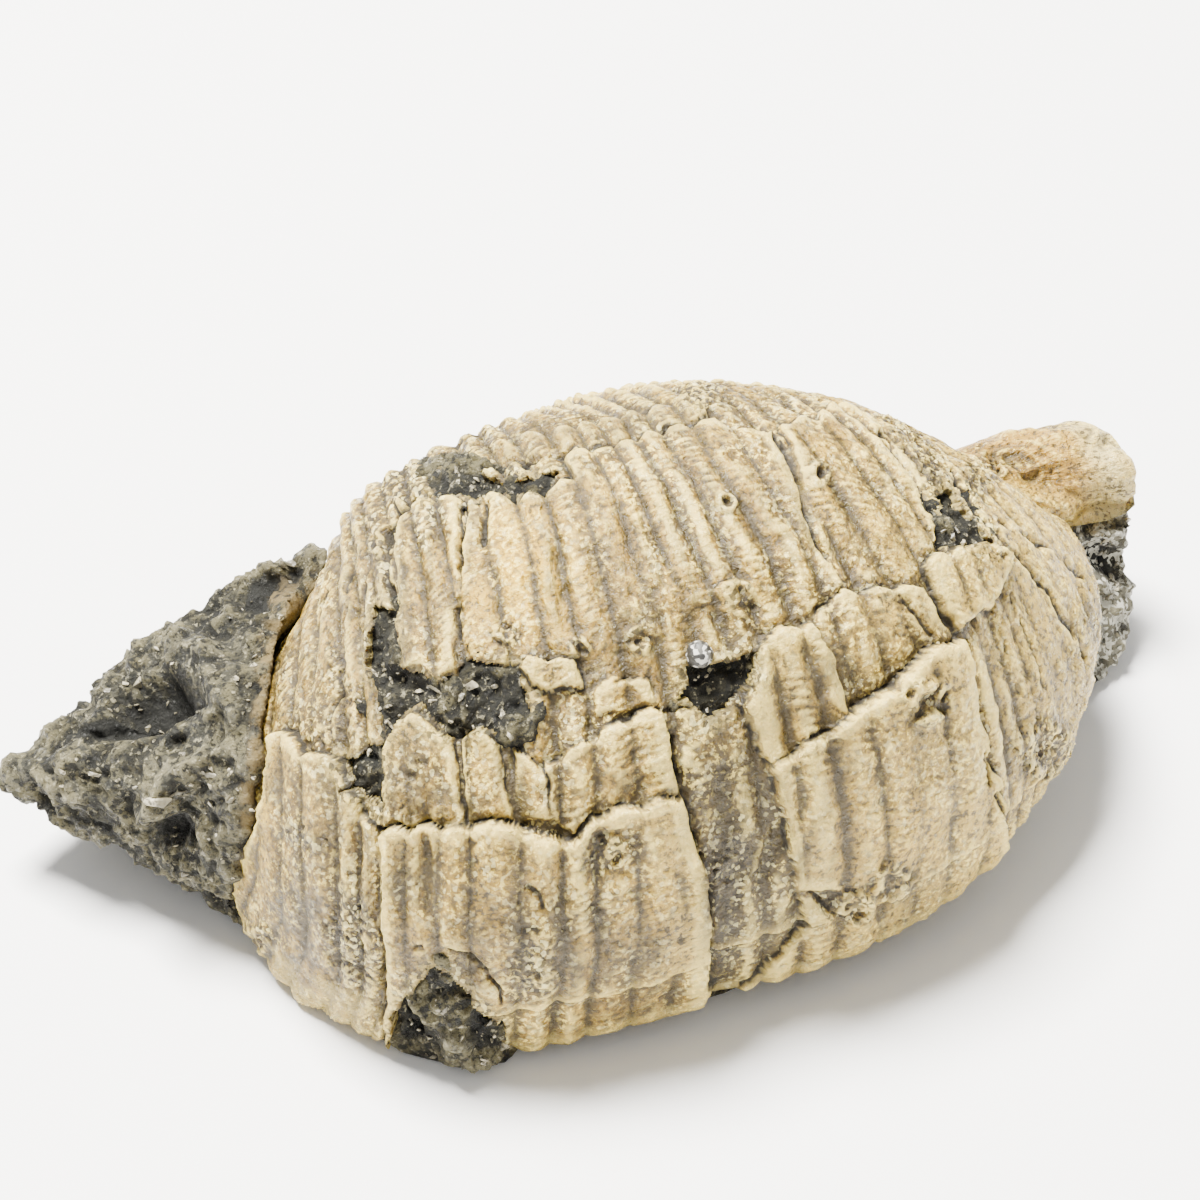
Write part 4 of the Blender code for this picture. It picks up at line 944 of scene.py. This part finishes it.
# The inside: a copy of the skin, joined to it round the margin and the holes, moved inwards.
with reshaping(valve.data) as bm:
    marker = bm.verts.layers.float["inner"]
    copied = bmesh.ops.extrude_face_region(bm, geom=bm.faces[:], use_keep_orig=True)["geom"]
    for part in copied:
        if isinstance(part, bmesh.types.BMVert):
            part[marker] = 1.0


def read_mask(mesh, name):
    """A mask's values, one for each vertex."""
    values = np.empty(len(mesh.vertices), np.float32)
    mesh.attributes[name].data.foreach_get("value", values)
    return values.astype(float)


inner = read_mask(valve.data, "inner") > 0.5
across = 2 * read_mask(valve.data, "across")[inner] - 1
along = read_mask(valve.data, "along")[inner]
hollow = valve_points(np.clip(across, -BODY_SHARE, BODY_SHARE), along, wall=SHELL_THICKNESS)[0]
back_edge = valve_points(across, np.zeros(len(along)))[0]
front_edge = valve_points(across, np.ones(len(along)))[0]
closed = back_edge + (front_edge - back_edge) * along[:, None]
solid = ease(np.abs(across), BODY_SHARE - 0.01, BODY_SHARE + 0.02)[:, None]
places = read_points(valve.data)
places[inner] = hollow * (1 - solid) + closed * solid - MIDDLE
place_points(valve.data, places)
group = valve.vertex_groups.new(name="Inside")
group.add(np.flatnonzero(inner).tolist(), 1.0, "REPLACE")
thinning = valve.modifiers.new("Thin out the inside", "DECIMATE")
thinning.ratio = (OUTSIDE_TRIANGLES + INSIDE_TRIANGLES) / present_triangles(valve)
thinning.vertex_group = "Inside"
thinning.use_collapse_triangulate = True
settle(valve)
with reshaping(valve.data) as bm:
    bmesh.ops.remove_doubles(bm, verts=bm.verts, dist=0.002 * MM)
    bmesh.ops.dissolve_degenerate(bm, edges=bm.edges, dist=0.001 * MM)
    bmesh.ops.recalc_face_normals(bm, faces=bm.faces)
write_points(valve.data, read_points(valve.data))
valve.data.shade_smooth()

calcite, shader, out = start_finish("Cream calcite")
shader.inputs["Specular IOR Level"].default_value = 0.45
shader.inputs["Subsurface Weight"].default_value = 0.12
shader.inputs["Subsurface Radius"].default_value = (1.0, 0.6, 0.3)
shader.inputs["Subsurface Scale"].default_value = 0.0010
crest = out.mask("crest")
stain_and_shade = out.mask("stain_and_shade")
painted_light_right = out.mask("painted_light_right")
fine = out.noise(0.46, 5.0, 0.62)
blobs = out.noise(1.9, 4.0, 0.6)
streaks = out.along_ribs(1.3, 3.2)
clusters = out.along_ribs(3.4, 2.2, 2.0).between(0.42, 0.58)
grains = out.chips(0.32)
raised = out.mask("fine relief")
swollen = out.mask("broad relief")
ear = out.mask("ear")
colour = painted(
    out.noise(5.5, 3.0, 0.6).between(0.36, 0.62).blend((0.158, 0.088, 0.008),
                                                       (0.272, 0.161, 0.016)),
    (streaks.between(0.46, 0.62) * 0.8, (0.484, 0.303, 0.038)),
    ((1 - streaks.between(0.34, 0.47)) * 0.75, (0.088, 0.061, 0.017)),
    ((1 - blobs.between(0.34, 0.48)) * 0.75, (0.084, 0.058, 0.016)),
    # Painted light: the right side of the valve lighter.
    (painted_light_right * 0.75, (0.544, 0.367, 0.065)),
    # Painted glow: warm bright places on the valve.
    (out.mask("painted_glow") * 0.8, (0.650, 0.391, 0.022)),
    ((1 - crest.between(0.0, 0.8)) * (0.75 - 0.4 * painted_light_right) * (1 - ear), (0.067, 0.046, 0.013)),
    (ear * (0.9 - 0.85 * out.mask("end")), (0.378, 0.206, 0.022)),
    (out.mask("end"), (0.605, 0.478, 0.191)),
    (out.mask("rear") * 0.4, (0.126, 0.087, 0.024)),
    # Stains, and painted shade below the raised layer edges.
    (stain_and_shade * blobs.between(0.34, 0.54) * 0.9, (0.046, 0.032, 0.009)),
    # Painted light and shade: broad swells lighter, broad hollows darker.
    (swollen.between(0.55, 0.95) * 0.6, (0.560, 0.376, 0.066)),
    ((1 - swollen.between(0.05, 0.5)) * 0.75, (0.059, 0.041, 0.011)),
    # Painted glints on small flecks, and painted shade beside them where the fine noise is low.
    (fine.between(0.54, 0.60) * (0.15 + 0.8 * clusters) * (0.6 + 0.4 * crest),
     (0.950, 0.724, 0.171)),
    ((1 - fine.between(0.41, 0.48)) * (0.55 + 0.4 * stain_and_shade + 0.3 * (1 - clusters)),
     (0.050, 0.034, 0.010)),
    # Painted light and shade: raised bits lighter, sunk bits darker.
    (raised.between(0.6, 0.95) * 0.6, (0.950, 0.737, 0.202)),
    ((1 - raised.between(0.1, 0.45)) * 0.8, (0.034, 0.023, 0.006)),
    # Brown bands, and broad painted shade over the left dome, the left flank and the top.
    (out.mask("bands_and_painted_shade") * (0.6 + 0.4 * (1 - streaks.between(0.40, 0.58))), (0.052, 0.036, 0.010)),
    # Painted highlight along the broken edges, partly the colour of fresh breaks.
    (out.mask("edge") * 0.5, (0.680, 0.514, 0.140)),
    # Painted glints: tiny bright specks on the rib crests.
    (grains.between(0.70, 0.78) * (0.08 + 0.3 * stain_and_shade + 0.25 * clusters)
     * crest.between(0.0, 0.5), (0.970, 0.848, 0.383)),
    (stain_and_shade.between(0.3, 0.8) * (1 - grains.between(0.25, 0.42)) * 0.8, (0.015, 0.010, 0.003)),
    # Painted shade: dark lines in cracks and pits, below the raised edges and round the holes.
    (out.mask("shade_and_dirt").between(0.25, 0.75) * 0.95, (0.013, 0.009, 0.002)))
roughness = 0.5 - 0.32 * grains.between(0.5, 0.8) + 0.35 * out.mask("shade_and_dirt")
relief = out.bumps(fine, 0.28).bumps(streaks, 0.5).bumps(blobs, 0.4)
relief = relief.bumps(grains * (0.2 + 0.8 * stain_and_shade), 0.18)
connect(shader, {"Base Color": colour, "Roughness": roughness, "Normal": relief})
valve.data.materials.append(calcite)

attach(valve, "root")
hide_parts("shell")

# ---------------------------------------------------------------------------------------------
# Calcite crystals and shell crumbs.  Small clear or white splinters that stand in the broken rock,
# each sunk halfway into it, and one round dark knob: a broken spine, filled with crystals.
# ---------------------------------------------------------------------------------------------
# Beds of splinters: (middle on the sketch, half width, half height, number, greatest length).
SPLINTER_BEDS = [
    ((-33, -9), 8, 5.5, 70, 0.8), ((-28, -16), 3, 5, 30, 0.7), ((-25, 0.5), 3, 2.5, 18, 0.7),
    ((-12, -7.5), 5.5, 3.5, 45, 0.9), ((-15.8, -11.5), 2, 3, 20, 0.7),
    ((-7.5, 8.6), 4.5, 1, 20, 0.7), ((8.7, -6), 2.5, 2.5, 16, 0.6),
    ((-10.5, -30.5), 4, 3.5, 50, 0.8), ((26.5, 5.5), 2.5, 2.5, 26, 0.8),
    ((37, 2), 2.5, 5.5, 90, 1)]
# Single larger ones: (place on the sketch, length, width, turn).
SPLINTERS = [
    ((-32.3, -14.6), 2.6, 0.8, 12), ((-28.2, -12.7), 1.3, 0.5, 10), ((-30.6, -14), 1.2, 0.4, 15),
    ((-13.2, -6.6), 1.5, 0.35, 35), ((-12, -6.4), 1.5, 0.35, -30), ((-9.4, -6.2), 1.2, 0.8, 20),
    ((-36.8, -12.6), 1.2, 0.5, -10), ((-33.4, -6), 1, 0.7, 40), ((-7.1, -32.2), 1.5, 1, -20),
    ((-22.3, 2.6), 1, 0.6, 30)]
KNOB = (7.2, -4.0)
KNOB_RADIUS = 0.95
SEED = 7


def standing_on(x, y, things):
    """Where the line of sight through a place on the sketch first meets one of the things."""
    right, up, towards = sketch_axes()
    eye = Vector((SKETCH_CENTRE - MIDDLE + towards * SKETCH_DISTANCE) * MM)
    target = Vector((SKETCH_CENTRE - MIDDLE + right * x + up * y) * MM)
    hits = []
    for thing, surface in things:
        place, normal, _, away = surface.ray_cast(eye, (target - eye).normalized())
        if place is not None:
            hits.append((away, place, normal, thing))
    return min(hits, key=lambda hit: hit[0]) if hits else None


bpy.context.view_layer.update()
graph = bpy.context.evaluated_depsgraph_get()
surfaces = [(thing, BVHTree.FromObject(thing, graph)) for thing in (rock, fill, valve)]
chance = np.random.default_rng(SEED)
named = [(x, y, length, width, turn) for (x, y), length, width, turn in SPLINTERS]
splinters = list(named)
for (x, y), half_width, half_height, number, greatest in SPLINTER_BEDS:
    for _ in range(number):
        offset = chance.uniform(-1, 1, 2)
        length = greatest * chance.uniform(0.35, 1.0) ** 2
        splinters.append((x + offset[0] * half_width, y + offset[1] * half_height,
                          length, length * chance.uniform(0.3, 0.7), chance.uniform(0, 180)))
crystals = new_thing("Crystals")
with reshaping(crystals.data) as bm:
    for x, y, length, width, turn in splinters:
        spot = standing_on(x, y, surfaces)
        if spot is None or spot[3] is valve and (x, y, length, width, turn) not in named:
            continue
        _, place, normal, _ = spot
        crystal = bmesh.ops.create_icosphere(bm, subdivisions=1, radius=0.5 * MM)["verts"]
        lean = Matrix.Rotation(chance.uniform(-0.5, 0.5), 4, "X")
        facing_out = normal.to_track_quat("Z", "Y").to_matrix().to_4x4()
        spin = Matrix.Rotation(np.radians(turn), 4, "Z")
        size = Matrix.Diagonal((length, width, 0.6 * width + 0.15, 1.0))
        for corner in crystal:
            corner.co += Vector(chance.uniform(-0.2, 0.2, 3)) * MM
        bmesh.ops.transform(bm, verts=crystal, matrix=Matrix.Translation(place) @ facing_out
                            @ spin @ lean @ size)
    bmesh.ops.recalc_face_normals(bm, faces=bm.faces)
write_points(crystals.data, read_points(crystals.data))

clear, shader, out = start_finish("White calcite")
shader.inputs["Specular IOR Level"].default_value = 0.6
tint = out.noise(2.2, 2.0)
colour = painted(tint.between(0.42, 0.58).blend((0.12, 0.106, 0.066), (0.44, 0.39, 0.27)),
                 (1 - out.noise(0.3, 3.0).between(0.40, 0.54), (0.09, 0.08, 0.05)))
connect(shader, {"Base Color": colour, "Roughness": 0.2 + 0.4 * tint,
                 "Normal": out.bumps(out.noise(0.25, 3.0), 0.08)})
crystals.data.materials.append(clear)
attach(crystals, "root")

_, place, normal, _ = standing_on(KNOB[0], KNOB[1], surfaces)
knob = new_thing("Spine_knob")
with reshaping(knob.data) as bm:
    bmesh.ops.create_icosphere(bm, subdivisions=4, radius=KNOB_RADIUS * MM)
places = read_points(knob.data)
bulge = 1 + 0.10 * grain(places, 0.8, 40) + 0.07 * grain(places, 0.35, 41)
place_points(knob.data, places * bulge[:, None])
lift = np.array(place + normal * 0.2 * KNOB_RADIUS * MM) / MM
write_points(knob.data, read_points(knob.data) + lift)
knob.data.shade_smooth()
filled, shader, out = start_finish("Crystal filling")
shader.inputs["Specular IOR Level"].default_value = 0.8
facets = out.chips(0.3)
colour = painted(facets.between(0.35, 0.65).blend((0.012, 0.011, 0.009), (0.10, 0.095, 0.08)),
                 (facets.between(0.66, 0.74), (0.60, 0.58, 0.52)))
connect(shader, {"Base Color": colour, "Roughness": 0.45 + 0.3 * facets,
                 "Normal": out.bumps(facets, 0.12)})
knob.data.materials.append(filled)
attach(knob, "root")

# ---------------------------------------------------------------------------------------------
# The setting: a plain white table, soft light from above and a little behind, and a camera
# that looks down on the fossil from its front left.
# ---------------------------------------------------------------------------------------------
FLOOR_SIZE = 6.0
WINDOW = (-0.12, 0.20, 0.72)
WINDOW_SIZE = 0.28
WINDOW_WATTS = 42.0
CAMERA_DISTANCE = 270.0
PIXEL = 0.0725           # millimetres at the camera's target
PICTURE = 1200
SENSOR = 36.0

floor = new_thing("Floor")
with reshaping(floor.data) as bm:
    bmesh.ops.create_grid(bm, x_segments=1, y_segments=1, size=FLOOR_SIZE / 2)
paper, shader, _ = start_finish("White paper")
shader.inputs["Base Color"].default_value = (0.96, 0.955, 0.945, 1)
shader.inputs["Roughness"].default_value = 0.9
floor.data.materials.append(paper)
floor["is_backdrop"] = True

world = bpy.data.worlds.new("Studio")
world.use_nodes = True
world.node_tree.nodes["Background"].inputs["Color"].default_value = (1.0, 1.0, 1.0, 1)
world.node_tree.nodes["Background"].inputs["Strength"].default_value = 0.8
bpy.context.scene.world = world

# A square panel that faces the fossil.
lamp = bpy.data.lights.new("Window", "AREA")
lamp.size = WINDOW_SIZE
lamp.energy = WINDOW_WATTS
lamp.color = (1.0, 0.98, 0.935)
panel = bpy.data.objects.new("Window", lamp)
panel.location = WINDOW
panel.rotation_euler = Vector(WINDOW).to_track_quat("Z", "Y").to_euler()
bpy.context.scene.collection.objects.link(panel)

right, up, towards = sketch_axes()
camera = bpy.data.objects.new("Camera", bpy.data.cameras.new("Camera"))
camera.data.sensor_width = SENSOR
camera.data.lens = SENSOR * CAMERA_DISTANCE / PIXEL / PICTURE
camera.data.clip_start = 0.005
camera.location = Vector((SKETCH_CENTRE - MIDDLE + towards * CAMERA_DISTANCE) * MM)
camera.rotation_euler = Vector(towards).to_track_quat("Z", "Y").to_euler()
bpy.context.scene.collection.objects.link(camera)
bpy.context.scene.camera = camera
